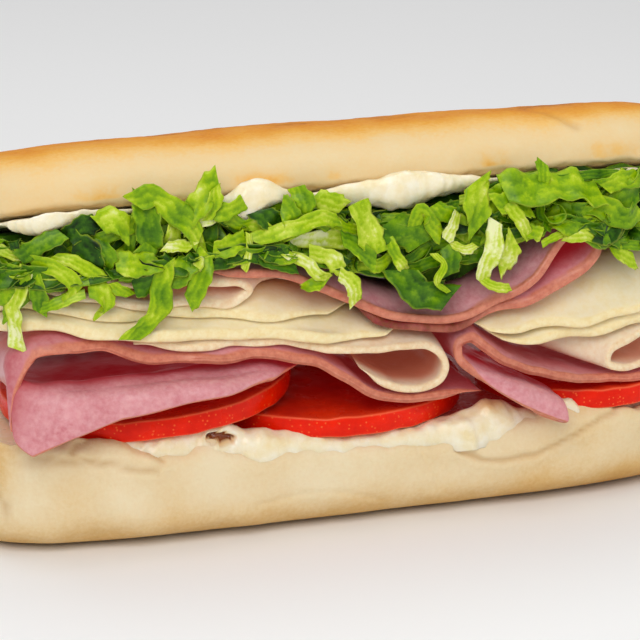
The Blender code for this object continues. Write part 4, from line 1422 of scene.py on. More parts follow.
def folded_slices() -> list[FoldedSlice]:
    """The ten slices, from the bottom of the stack to its top.

    Returns:
        The slices.
    """
    return [
        FoldedSlice(
            "ham_left", Kind.HAM, HAM_THICK,
            [(27.0, 25.3), (19.0, 25.1), (11.0, 25.1), (5.5, 26.0), (0.5, 28.2), (-5.0, 31.9),
             (-11.0, 34.9), (-18.0, 36.8), (-27.0, 38.3), (-37.0, 39.0), (-45.0, 38.9), (-51.0, 39.6),
             (-57.0, 41.6), (-65.0, 42.5), (-72.0, 41.6), (-76.6, 39.3), (-77.2, 36.6), (-74.0, 34.6),
             (-66.0, 34.2), (-55.0, 34.0), (-44.0, 34.2), (-32.0, 34.2), (-21.0, 33.7), (-13.0, 32.2)],
            [(27.0, 25.3), (19.0, 25.1), (11.0, 25.1), (5.5, 25.9), (0.5, 28.2), (-5.0, 31.9),
             (-11.0, 34.9), (-18.0, 36.8), (-27.0, 38.3), (-37.0, 39.0), (-45.0, 38.9), (-51.0, 39.6),
             (-57.0, 40.4), (-65.0, 40.6), (-71.0, 39.2), (-75.0, 36.4), (-75.6, 33.6), (-72.6, 31.0),
             (-66.0, 29.8), (-55.0, 30.2), (-44.0, 31.0), (-32.0, 31.7), (-21.0, 32.1), (-13.0, 32.3)],
            over=[0.5] * 5 + [1.0] * 8 + [1.6, 2.0, 2.4, 2.8] + [3.0] * 4 + [2.4, 0.6, -6.0],
            hang=[0.0] * 14 + [2.0, 7.0, 12.4, 14.0, 10.0, 6.8, 5.2, 3.6, 1.8, 0.2],
            seed=1, columns=300, hollow_shade=(-1.0, 25.0), thin_start=10.0, thin_end=9.0,
            rind_from=16.0),
        FoldedSlice(
            "turkey_middle", Kind.TURKEY, TURKEY_THICK,
            [(-51.0, 42.7), (-41.0, 42.0), (-31.0, 41.2), (-18.0, 39.6), (-8.0, 38.3), (2.0, 37.6),
             (8.0, 37.5), (13.8, 36.7), (17.3, 34.5), (18.5, 31.6), (17.2, 28.9), (13.5, 27.7),
             (8.0, 28.1), (3.0, 30.3), (-1.5, 33.8)],
            over=[0.8] * 5 + [1.6] * 3 + [2.2] * 4 + [1.8] * 3,
            depth=[1.0] * 9 + [0.9, 0.8, 0.65, 0.5, 0.4, 0.35], seed=2, hollow_shade=(-1.0, 16.0),
            thin_start=8.0, thin_end=8.0),
        FoldedSlice(
            "cheese_left_low", Kind.CHEESE, CHEESE_THICK_LOW,
            [(-79.5, 43.4), (-71.0, 45.7), (-58.0, 46.0), (-44.0, 45.3), (-31.0, 44.2), (-18.0, 42.6),
             (-8.0, 41.2), (5.0, 40.0), (14.0, 39.2)],
            over=[2.2] * 5 + [2.0, 1.6, 0.4, -5.0], seed=3, columns=140, thin_end=30.0),
        FoldedSlice(
            "cheese_left_high", Kind.CHEESE, CHEESE_THICK,
            [(-79.5, 46.6), (-71.0, 48.9), (-58.0, 49.2), (-44.0, 48.5), (-31.0, 47.4), (-18.0, 45.9),
             (-8.0, 44.6), (0.0, 43.0)],
            over=[0.6] * 5 + [0.2, -0.6, -5.0], seed=5, columns=130, thin_end=28.0),
        FoldedSlice(
            "turkey_left", Kind.TURKEY, TURKEY_THICK,
            [(-76.0, 51.1), (-66.0, 52.0), (-56.0, 51.9), (-46.8, 51.4), (-36.0, 50.4), (-29.4, 50.1),
             (-26.0, 52.0), (-28.2, 54.3), (-35.0, 55.0), (-46.0, 55.3), (-57.0, 55.0), (-68.0, 54.2)],
            [(-76.0, 51.1), (-66.0, 52.0), (-52.0, 51.7), (-38.0, 50.6), (-24.0, 49.3), (-13.0, 47.9),
             (-8.4, 48.9), (-11.6, 50.4), (-22.0, 52.6), (-34.0, 54.0), (-50.0, 55.0), (-68.0, 54.2)],
            over=[-1.5, -0.5, 0.5] + [1.0] * 6 + [0.0, -1.5, -3.0], seed=4, columns=180,
            roast_and_shade=(-1.0, 3.2), hollow_shade=(3.5, 12.0), thin_end=5.0),
        FoldedSlice(
            "ham_top", Kind.HAM, HAM_THICK,
            [(-37.0, 58.0), (-30.0, 57.6), (-24.0, 56.8), (-17.0, 55.3), (-10.8, 52.8), (-4.8, 49.6),
             (2.0, 46.4), (8.8, 44.2), (14.5, 43.3), (21.4, 43.3), (28.3, 44.7), (34.1, 47.0),
             (38.6, 50.4), (42.1, 54.4), (45.2, 58.2), (48.6, 59.9), (52.2, 58.4), (53.4, 55.0),
             (51.0, 51.5), (46.5, 48.5), (41.0, 46.0), (35.0, 43.7), (28.5, 41.8), (22.0, 40.9),
             (15.5, 40.8), (8.8, 41.9), (2.0, 44.0), (-4.5, 47.2)],
            over=[0.5, 1.0, 1.6] + [2.4] * 10 + [1.8] * 4 + [1.2] * 5 + [1.0] * 5 + [-1.0],
            depth=[0.9] + [1.0] * 14 + [0.96] * 4 + [0.9] * 4 + [0.8, 0.7, 0.6, 0.5, 0.4], seed=6,
            # Painted shade in its fold and, dark red, on its lower limb under the upper one
            columns=330, hollow_shade=(13.5, 20.5), roast_and_shade=(22.6, 30.0), thin_start=8.0, thin_end=8.0),
        FoldedSlice(
            "ham_right", Kind.HAM, HAM_THICK,
            [(77.0, 23.6), (66.0, 23.7), (55.0, 24.8), (45.4, 26.9), (38.3, 29.0), (32.4, 31.5),
             (27.5, 34.5), (24.4, 36.6), (21.8, 36.0), (21.6, 33.4), (24.0, 31.0), (28.5, 28.9),
             (34.0, 26.7), (38.5, 24.8), (42.0, 23.2), (44.2, 21.4), (42.8, 19.9), (39.5, 20.4),
             (36.3, 21.3)],
            over=[0.4, 0.8, 1.2, 1.4, 1.6, 1.6, 1.4, 1.2, 1.2, 1.4, 1.8, 2.4] + [3.0] * 7,
            hang=[0.0] * 9 + [0.6, 2.2, 3.8, 5.2, 5.8, 5.8, 5.0, 3.2, 1.6, 0.5],
            depth=[1.0] * 7 + [0.96, 0.9, 0.85, 0.7, 0.55, 0.3, 0.17, 0.13] + [0.10] * 4,
            seed=7, columns=260, hollow_shade=(-1.0, 20.0), thin_end=4.0, rind_from=9.5),
        FoldedSlice(
            "turkey_right", Kind.TURKEY, TURKEY_THICK,
            [(78.0, 33.0), (70.0, 32.9), (62.5, 32.2), (57.8, 30.8), (57.4, 28.3), (60.6, 26.8),
             (68.0, 26.3), (78.0, 26.3)],
            [(78.0, 39.2), (66.0, 38.8), (54.0, 37.0), (42.0, 34.6), (38.6, 33.4), (42.0, 31.6),
             (56.0, 29.8), (78.0, 28.6)],
            over=[0.0, 0.6, 1.4, 1.8, 1.8, 1.8, 1.2, 0.6], seed=8, columns=150, hollow_shade=(4.5, 9.0)),
        FoldedSlice(
            "cheese_right_low", Kind.CHEESE, CHEESE_THICK,
            [(25.5, 37.6), (32.0, 35.4), (40.5, 34.9), (52.0, 34.9), (64.0, 35.6), (77.0, 36.2)],
            [(25.5, 37.6), (32.0, 35.9), (40.5, 37.2), (50.0, 40.4), (64.0, 43.2), (77.0, 43.6)],
            over=[-5.0, -0.6, 0.6, 0.8, 0.8, 0.8], ease=14.0, seed=9, columns=110, thin_start=22.0),
        FoldedSlice(
            "cheese_right_high", Kind.CHEESE, CHEESE_THICK,
            [(22.0, 38.7), (28.5, 38.2), (36.0, 38.2), (48.0, 38.4), (62.0, 39.4), (77.0, 40.2)],
            [(22.0, 38.7), (28.5, 38.6), (36.0, 39.7), (48.0, 43.7), (62.0, 47.0), (77.0, 47.4)],
            over=[-5.0, 0.2, 1.2, 1.6, 1.6, 1.6], ease=14.0, seed=10, columns=110, thin_start=22.0),
    ]


# Upper boundary of the stack under the lettuce, as points (x, z)
STACK_TOP = ((-82.0, 53.5), (-70.0, 56.2), (-56.0, 57.6), (-44.0, 58.6), (-34.0, 60.3),
             (-24.0, 59.9), (-15.0, 58.3), (-7.0, 54.8), (2.0, 50.6), (9.0, 47.2), (16.0, 46.2),
             (23.0, 46.9), (30.0, 50.2), (36.0, 55.0), (41.0, 59.8), (45.0, 62.2), (51.0, 62.2),
             (56.0, 59.5), (60.0, 54.0), (66.0, 50.6), (74.0, 50.6), (82.0, 50.4))


def stack_top(x: Array, y: Array) -> Array:
    """Height just above the slices at a plan point."""
    z = np.interp(x, *np.array(STACK_TOP).T)
    return settle(spots_at(x, y, z))[..., 2]


class Outline:
    """Edge of the fillings seen from above, measured along its length from the middle of the front."""

    def __init__(self, count: int = 720) -> None:
        """Walk once around the edge, from the front to the right.

        Args:
            count: Number of points on the edge.
        """
        angle = np.linspace(0.0, 2.0 * math.pi, 4001) - math.pi / 2.0
        x = HEAP_HALF_LENGTH * signed_power(np.cos(angle), 2.0 / PLAN_POWER)
        y = FILL_HALF_WIDTH * signed_power(np.sin(angle), 2.0 / PLAN_POWER)
        run = np.concatenate([[0.0], np.cumsum(np.hypot(np.diff(x), np.diff(y)))])
        self.length = float(run[-1])
        self.at = np.linspace(0.0, self.length, count)
        self.x, self.y = np.interp(self.at, run, x), np.interp(self.at, run, y)
        ahead = np.gradient(np.stack([self.x, self.y], axis=-1), axis=0)
        ahead /= np.linalg.norm(ahead, axis=1, keepdims=True)
        self.out = np.stack([ahead[:, 1], -ahead[:, 0]], axis=-1)

    def read(self, s: Array, values: Array) -> Array:
        """Value at a run along the edge."""
        return np.interp(np.mod(s, self.length), self.at, values)

    def place(self, s: Array, out: Array) -> tuple[Array, Array, Array]:
        """Plan place and outward direction at a run and a distance outwards.

        Args:
            s: Runs along the edge.
            out: Distances outwards.

        Returns:
            The x, the y and the directions.
        """
        way = np.stack([self.read(s, self.out[:, 0]), self.read(s, self.out[:, 1])], axis=-1)
        x = self.read(s, self.x) + way[..., 0] * out
        y = self.read(s, self.y) + way[..., 1] * out
        return x, y, way


@dataclass(frozen=True)
class Strand:
    """One strip of lettuce placed at the front, along given points (x, z)."""

    points: Line
    width: float
    tone: float
    out: float = 2.8
    turn: float = 0.0
    ruffle: float = 0.14


@dataclass
class Lettuce:
    """Heap of shredded lettuce over a darker core, whose dark tone is painted shade."""

    front_count: int = 240
    end_count: int = 45
    back_count: int = 100
    steps: int = 21
    seed: int = 5
    low_edge: Line = (
        (-82.0, 54.0), (-74.0, 57.0), (-60.0, 58.0), (-40.0, 58.5), (-28.0, 60.5), (-15.0, 58.5),
        (-4.0, 55.5), (11.0, 52.0), (20.0, 52.0), (34.0, 56.5), (43.5, 61.5), (53.0, 56.0),
        (62.0, 54.0), (82.0, 53.0))
    top_edge: Line = (
        (-82.0, 63.0), (-70.0, 66.0), (-62.0, 68.5), (-48.0, 73.0), (-34.0, 73.0), (-28.0, 69.0),
        (-15.0, 71.0), (-4.0, 68.0), (11.0, 66.5), (22.0, 70.0), (34.0, 72.5), (62.0, 73.0),
        (82.0, 72.0))
    shown: list[Strand] = field(default_factory=list)

    def room(self, outline: Outline, s: Array) -> tuple[Array, Array]:
        """Lowest and highest level of the heap along the edge.

        Args:
            outline: Edge of the fillings.
            s: Runs along it.

        Returns:
            The two levels.
        """
        x, y, _ = outline.place(s, np.zeros_like(s))
        shown = smooth(-20.0, -33.0, y) * smooth(80.5, 76.0, np.abs(x))
        low = stack_top(x, y) + 1.0
        top = lid_plane(y) - 2.0
        front_low = np.interp(x, *np.array(self.low_edge).T)
        front_top = np.interp(x, *np.array(self.top_edge).T)
        return low + (front_low - low) * shown, top + (front_top - top) * shown

    def random_lines(self, outline: Outline) -> list[dict]:
        """Lines of the strips that a rule lays around the heap.

        Args:
            outline: Edge of the fillings.

        Returns:
            For each strip its points, facing directions, half widths, tone and ruffle.
        """
        rng = np.random.default_rng(self.seed)
        plans = [(rng.uniform(-79.0, 79.0), True) for _ in range(self.front_count)]
        half = outline.length / 2.0
        plans += [(side * rng.uniform(80.0, 150.0), False) for _ in range(self.end_count)
                  for side in (-1.0, 1.0)]
        plans += [(half + rng.uniform(-80.0, 80.0), False) for _ in range(self.back_count)]
        lines = []
        for number, (s0, front) in enumerate(plans):
            depth = rng.uniform(0.0, 1.0)
            length = rng.uniform(11.0, 26.0) if front else rng.uniform(9.0, 22.0)
            heading = rng.normal(0.0, 0.8 if front else 0.4)
            curl = rng.normal(0.0, 0.07)
            share = np.linspace(-0.5, 0.5, self.steps)
            turn = heading + curl * length * share
            s = s0 + np.cumsum(np.cos(turn)) * length / self.steps
            s -= np.mean(s) - s0
            low, top = self.room(outline, s)
            middle = rng.uniform(0.08, 0.92)
            z = low + (top - low) * middle + (np.cumsum(np.sin(turn)) - np.sum(np.sin(turn)) / 2.0
                                              ) * length / self.steps
            half_width = 0.5 * (rng.uniform(2.0, 4.4) if rng.uniform() < 0.85 else rng.uniform(4.4, 6.6))
            margin = half_width * 0.7
            span = np.maximum(top - low - 2.0 * margin, 0.6)
            inside = (z - low - margin) / span
            inside = 0.5 + 0.5 * np.tanh((inside - 0.5) * 2.2)
            z = low + margin + span * inside
            bulge = rng.uniform(0.0, 1.8) * np.sin((share + 0.5) * math.pi)
            reach = -3.0 + (3.6 if front else 4.2) * depth + bulge + 0.5 * np.sin(share * 9.0 + s0)
            # Strips further in get darker tones: painted shade inside the heap
            tone = np.clip(rng.normal(0.18 + (0.34 if front else 0.46) * depth, 0.13), 0.03, 0.76)
            if rng.uniform() < (0.03 if front else 0.08):
                tone = rng.uniform(0.82, 0.95)
            spin = rng.normal(0.0, 0.3)
            twist = rng.normal(0.0, 0.55)
            lines.append(self.strip(outline, s, z, reach, half_width, tone, spin + twist * share,
                                    rng.uniform(0.08, 0.34), number))
        return lines

    def strip(self, outline: Outline, s: Array, z: Array, reach: Array,
              half_width: float, tone: float, turn: Array, ruffle: float, phase: float) -> dict:
        """One strip as points in the stack.

        Args:
            outline: Edge of the fillings.
            s: Run of each point along the edge.
            z: Level of each point.
            reach: How far each point stands out from the edge.
            half_width: Half of the strip's width.
            tone: Its place in the row of leaf colours.
            turn: Turn of its face about its line, at each point.
            ruffle: Height of its ruffled edge, as a share of the half width.
            phase: Start of the ruffle.

        Returns:
            Points, facing directions and values for the tree.
        """
        x, y, way = outline.place(s, reach)
        floor = stack_top(x, y) + 1.2
        clear = np.where(z < floor + 0.8, np.maximum(reach, 3.6), reach)
        roof = lid_plane(y) - 1.2
        clear = np.where((z > roof) & (clear < 1.2), 1.2, clear)
        kernel = np.array([0.25, 0.5, 0.25])
        for _ in range(3):
            clear[1:-1] = np.convolve(clear, kernel, mode="valid")
        x, y, way = outline.place(s, clear)
        points = spots_at(x, y, z)
        ahead = np.gradient(points, axis=0)
        ahead /= np.maximum(np.linalg.norm(ahead, axis=1, keepdims=True), 1e-9)
        out = np.concatenate([way, np.full((len(s), 1), 0.25)], axis=1)
        out -= ahead * np.sum(out * ahead, axis=1, keepdims=True)
        out /= np.maximum(np.linalg.norm(out, axis=1, keepdims=True), 1e-9)
        side = np.cross(ahead, out)
        facing = out * np.cos(turn)[:, None] + side * np.sin(turn)[:, None]
        share = np.linspace(0.0, 1.0, len(s))
        shape = (0.80 + 0.20 * np.sin(share * math.pi)) * (1.0 + 0.10 * np.sin(share * 11.0 + phase))
        shape = shape * (1.0 + 0.06 * np.sin(share * 27.0 + 2.0 * phase))
        run = np.concatenate([[0.0], np.cumsum(np.linalg.norm(np.diff(points, axis=0), axis=1))])
        return {"points": points, "facing": facing, "ahead": ahead, "half": half_width * shape,
                "tone": tone, "run": run, "ruffle": ruffle, "phase": phase,
                "slant": 0.95 * math.sin(phase * 2.4 + 0.7)}

    def placed_lines(self, outline: Outline) -> list[dict]:
        """Lines of the strips that are listed one by one.

        Args:
            outline: Edge of the fillings.

        Returns:
            What random_lines gives, for each strip.
        """
        lines = []
        for number, strand in enumerate(self.shown):
            given = Profile(strand.points)
            t = np.linspace(0.0, len(strand.points) - 1.0, self.steps)
            xz = given.at(t)
            reach = strand.out + 0.7 * np.sin(t / t[-1] * math.pi) - 0.3 * np.cos(t * 2.1 + number)
            front = np.where(np.abs(outline.y + FILL_HALF_WIDTH) < 6.0)[0]
            order = front[np.argsort(outline.x[front])]
            runs = np.where(outline.at > outline.length / 2.0, outline.at - outline.length, outline.at)
            s = np.interp(xz[:, 0], outline.x[order], runs[order])
            lines.append(self.strip(outline, s, xz[:, 1], reach, 0.45 * strand.width, strand.tone,
                                    strand.turn + 0.35 * np.sin(t * 1.3 + number), strand.ruffle,
                                    number * 1.7))
        return lines

    def core(self, finishes: Finishes) -> bpy.types.Object:
        """Dark body of the heap, under the strips; its dark tone is painted shade in the gaps.

        Args:
            finishes: Materials of the sandwich.

        Returns:
            The piece.
        """
        columns, rows = 200, 70
        u, v = np.meshgrid(np.linspace(-1.0, 1.0, columns), np.linspace(-1.0, 1.0, rows), indexing="ij")
        x = 78.5 * u
        y = v * 32.0 * taper(x, FILL_HALF_LENGTH)
        low = stack_top(x, y) + 0.6
        top = np.maximum(lid_plane(y) - 2.6 - 0.5 * (1.0 + np.sin(x * 0.5 + y * 0.7)), low + 0.6)
        spots = spots_at(x, y, top)
        pull = 1.0 - 0.018 * (1.0 + waves(spots, 9.0, 61)) * smooth(0.9, 1.0, np.abs(v))
        upper = spots_at(x, y * pull, top).reshape(-1, 3)
        lower = spots_at(x, y * pull, low).reshape(-1, 3)
        # Low tones: painted shade where the core shows between the strips
        tones = 0.04 + 0.08 * (1.0 + waves(np.concatenate([upper, lower]), 5.0, 62))
        values = {"tone": np.clip(tones, 0.0, 0.3), "across": np.zeros(len(tones))}
        piece = mesh_piece("lettuce_core", np.concatenate([upper, lower]), sheet_faces(columns, rows),
                           finishes["lettuce"], values)
        return place_piece(piece, "lettuce")

    def build(self, finishes: Finishes) -> None:
        """Build the core, the strips that a rule lays and the strips that are listed one by one.

        Args:
            finishes: Materials of the sandwich.
        """
        outline = Outline()
        tree = StripTree().make()
        self.core(finishes)
        self.strips("lettuce_strips", self.random_lines(outline), tree, finishes)
        self.strips("lettuce_leaves", self.placed_lines(outline), tree, finishes)

    def strips(self, name: str, lines: list[dict], tree: bpy.types.GeometryNodeTree,
               finishes: Finishes) -> bpy.types.Object:
        """Turn lines into strips.

        Args:
            name: Name of the piece.
            lines: Points and values of each strip.
            tree: Geometry Nodes tree that makes the strips.
            finishes: Materials of the sandwich.

        Returns:
            One piece that holds the strips.
        """
        points = np.concatenate([line["points"] for line in lines])
        edges = [(k * self.steps + i, k * self.steps + i + 1)
                 for k in range(len(lines)) for i in range(self.steps - 1)]
        mesh = bpy.data.meshes.new(name)
        mesh.from_pydata(to_frame(points).tolist(), edges, [])
        numbers = {
            "half": np.concatenate([line["half"] for line in lines]) * MM,
            "run": np.concatenate([line["run"] for line in lines]) * MM,
            "tone": np.repeat([line["tone"] for line in lines], self.steps),
            "ruffle": np.repeat([line["ruffle"] for line in lines], self.steps),
            "phase": np.repeat([float(line["phase"]) for line in lines], self.steps),
            "slant": np.repeat([line["slant"] for line in lines], self.steps),
        }
        for key, values in numbers.items():
            mesh.attributes.new(key, "FLOAT", "POINT").data.foreach_set("value", values)
        for key in ("facing", "ahead"):
            ways = np.concatenate([line[key] for line in lines])
            mesh.attributes.new(key, "FLOAT_VECTOR", "POINT").data.foreach_set("vector", ways.ravel())
        obj = bpy.data.objects.new(name, mesh)
        bpy.context.scene.collection.objects.link(obj)
        StripTree().apply(obj, tree, finishes["lettuce"])
        return place_piece(obj, "lettuce")


@dataclass
class StripTree:
    """Geometry Nodes tree that turns lines into thin ruffled strips of leaf."""

    thickness: float = 0.13
    cup: float = 0.22
    wavelength: float = 7.0
    sides: int = 10

    def make(self) -> bpy.types.GeometryNodeTree:
        """Build the tree.

        Returns:
            A tree with the named inputs Lines, Thickness, Cup, Wavelength and Material.
        """
        tree = bpy.data.node_groups.new("leaf_strips", "GeometryNodeTree")
        face = tree.interface
        face.new_socket("Lines", in_out="INPUT", socket_type="NodeSocketGeometry")
        for name in ("Thickness", "Cup", "Wavelength"):
            face.new_socket(name, in_out="INPUT", socket_type="NodeSocketFloat")
        face.new_socket("Material", in_out="INPUT", socket_type="NodeSocketMaterial")
        face.new_socket("Strips", in_out="OUTPUT", socket_type="NodeSocketGeometry")
        wires = Wiring(tree)
        given = wires.add("NodeGroupInput").outputs
        read = {name: wires.add("GeometryNodeInputNamedAttribute", {"Name": name}, data_type="FLOAT")
                .outputs[0] for name in ("half", "run", "ruffle", "phase", "across", "slant")}
        facing, ahead = [wires.add("GeometryNodeInputNamedAttribute", {"Name": name},
                                   data_type="FLOAT_VECTOR").outputs[0] for name in ("facing", "ahead")]

        circle = wires.add("GeometryNodeCurvePrimitiveCircle", {"Resolution": self.sides, "Radius": 1.0})
        place = wires.add("ShaderNodeSeparateXYZ", {0: wires.add("GeometryNodeInputPosition").outputs[0]})
        wide, flat = place.outputs[0], place.outputs[1]
        arch = wires.times(wires.times(wide, wide), given["Cup"])
        height = wires.plus(wires.times(flat, given["Thickness"]), arch)
        section = wires.add("ShaderNodeCombineXYZ", {0: height, 1: wide})
        named = wires.add("GeometryNodeStoreNamedAttribute",
                          {"Geometry": circle.outputs[0], "Name": "across", "Value": wide},
                          data_type="FLOAT", domain="POINT")
        profile = wires.add("GeometryNodeSetPosition", {"Geometry": named.outputs[0],
                                                        "Position": section.outputs[0]})

        curves = wires.add("GeometryNodeMeshToCurve", {"Mesh": given["Lines"]})
        turned = wires.add("GeometryNodeSetCurveNormal", {"Curve": curves.outputs[0], "Normal": facing},
                           mode="FREE")
        swept = wires.add("GeometryNodeCurveToMesh",
                          {"Curve": turned.outputs[0], "Profile Curve": profile.outputs[0],
                           "Scale": read["half"], "Fill Caps": True})

        beat = wires.math("DIVIDE", wires.times(read["run"], 2.0 * math.pi), given["Wavelength"])
        beat = wires.plus(beat, wires.plus(read["phase"], wires.times(read["across"], 1.3)))
        edge = wires.times(wires.math("ABSOLUTE", read["across"]), read["ruffle"])
        amount = wires.times(wires.times(edge, read["half"]), wires.math("SINE", beat))
        slide = wires.times(wires.times(read["across"], read["slant"]), read["half"])
        wavy = wires.add("ShaderNodeVectorMath", {0: facing, "Scale": amount}, operation="SCALE")
        cut = wires.add("ShaderNodeVectorMath", {0: ahead, "Scale": slide}, operation="SCALE")
        offset = wires.add("ShaderNodeVectorMath", {0: wavy.outputs[0], 1: cut.outputs[0]})
        ruffled = wires.add("GeometryNodeSetPosition", {"Geometry": swept.outputs[0],
                                                        "Offset": offset.outputs[0]})
        soft = wires.add("GeometryNodeSetShadeSmooth", {"Geometry": ruffled.outputs[0]})
        whole = wires.add("GeometryNodeRealizeInstances", {"Geometry": soft.outputs[0]})
        dressed = wires.add("GeometryNodeSetMaterial", {"Geometry": whole.outputs[0],
                                                        "Material": given["Material"]})
        wires.add("NodeGroupOutput", {"Strips": dressed.outputs[0]})
        return tree

    def apply(self, obj: bpy.types.Object, tree: bpy.types.GeometryNodeTree,
              material: bpy.types.Material) -> None:
        """Turn the object's lines into strips, as a plain mesh.

        Args:
            obj: Object whose mesh holds the lines.
            tree: The tree.
            material: Material of the strips.
        """
        modifier = obj.modifiers.new("Strips", "NODES")
        modifier.node_group = tree
        values = {"Thickness": self.thickness, "Cup": self.cup, "Wavelength": self.wavelength * MM,
                  "Material": material}
        for item in tree.interface.items_tree:
            if item.name in values:
                modifier[item.identifier] = values[item.name]
        bpy.context.view_layer.update()
        graph = bpy.context.evaluated_depsgraph_get()
        mesh = bpy.data.meshes.new_from_object(obj.evaluated_get(graph), depsgraph=graph)
        obj.modifiers.clear()
        obj.data = mesh
        bm = bmesh.new()
        bm.from_mesh(mesh)
        bmesh.ops.recalc_face_normals(bm, faces=bm.faces)
        bm.to_mesh(mesh)
        bm.free()


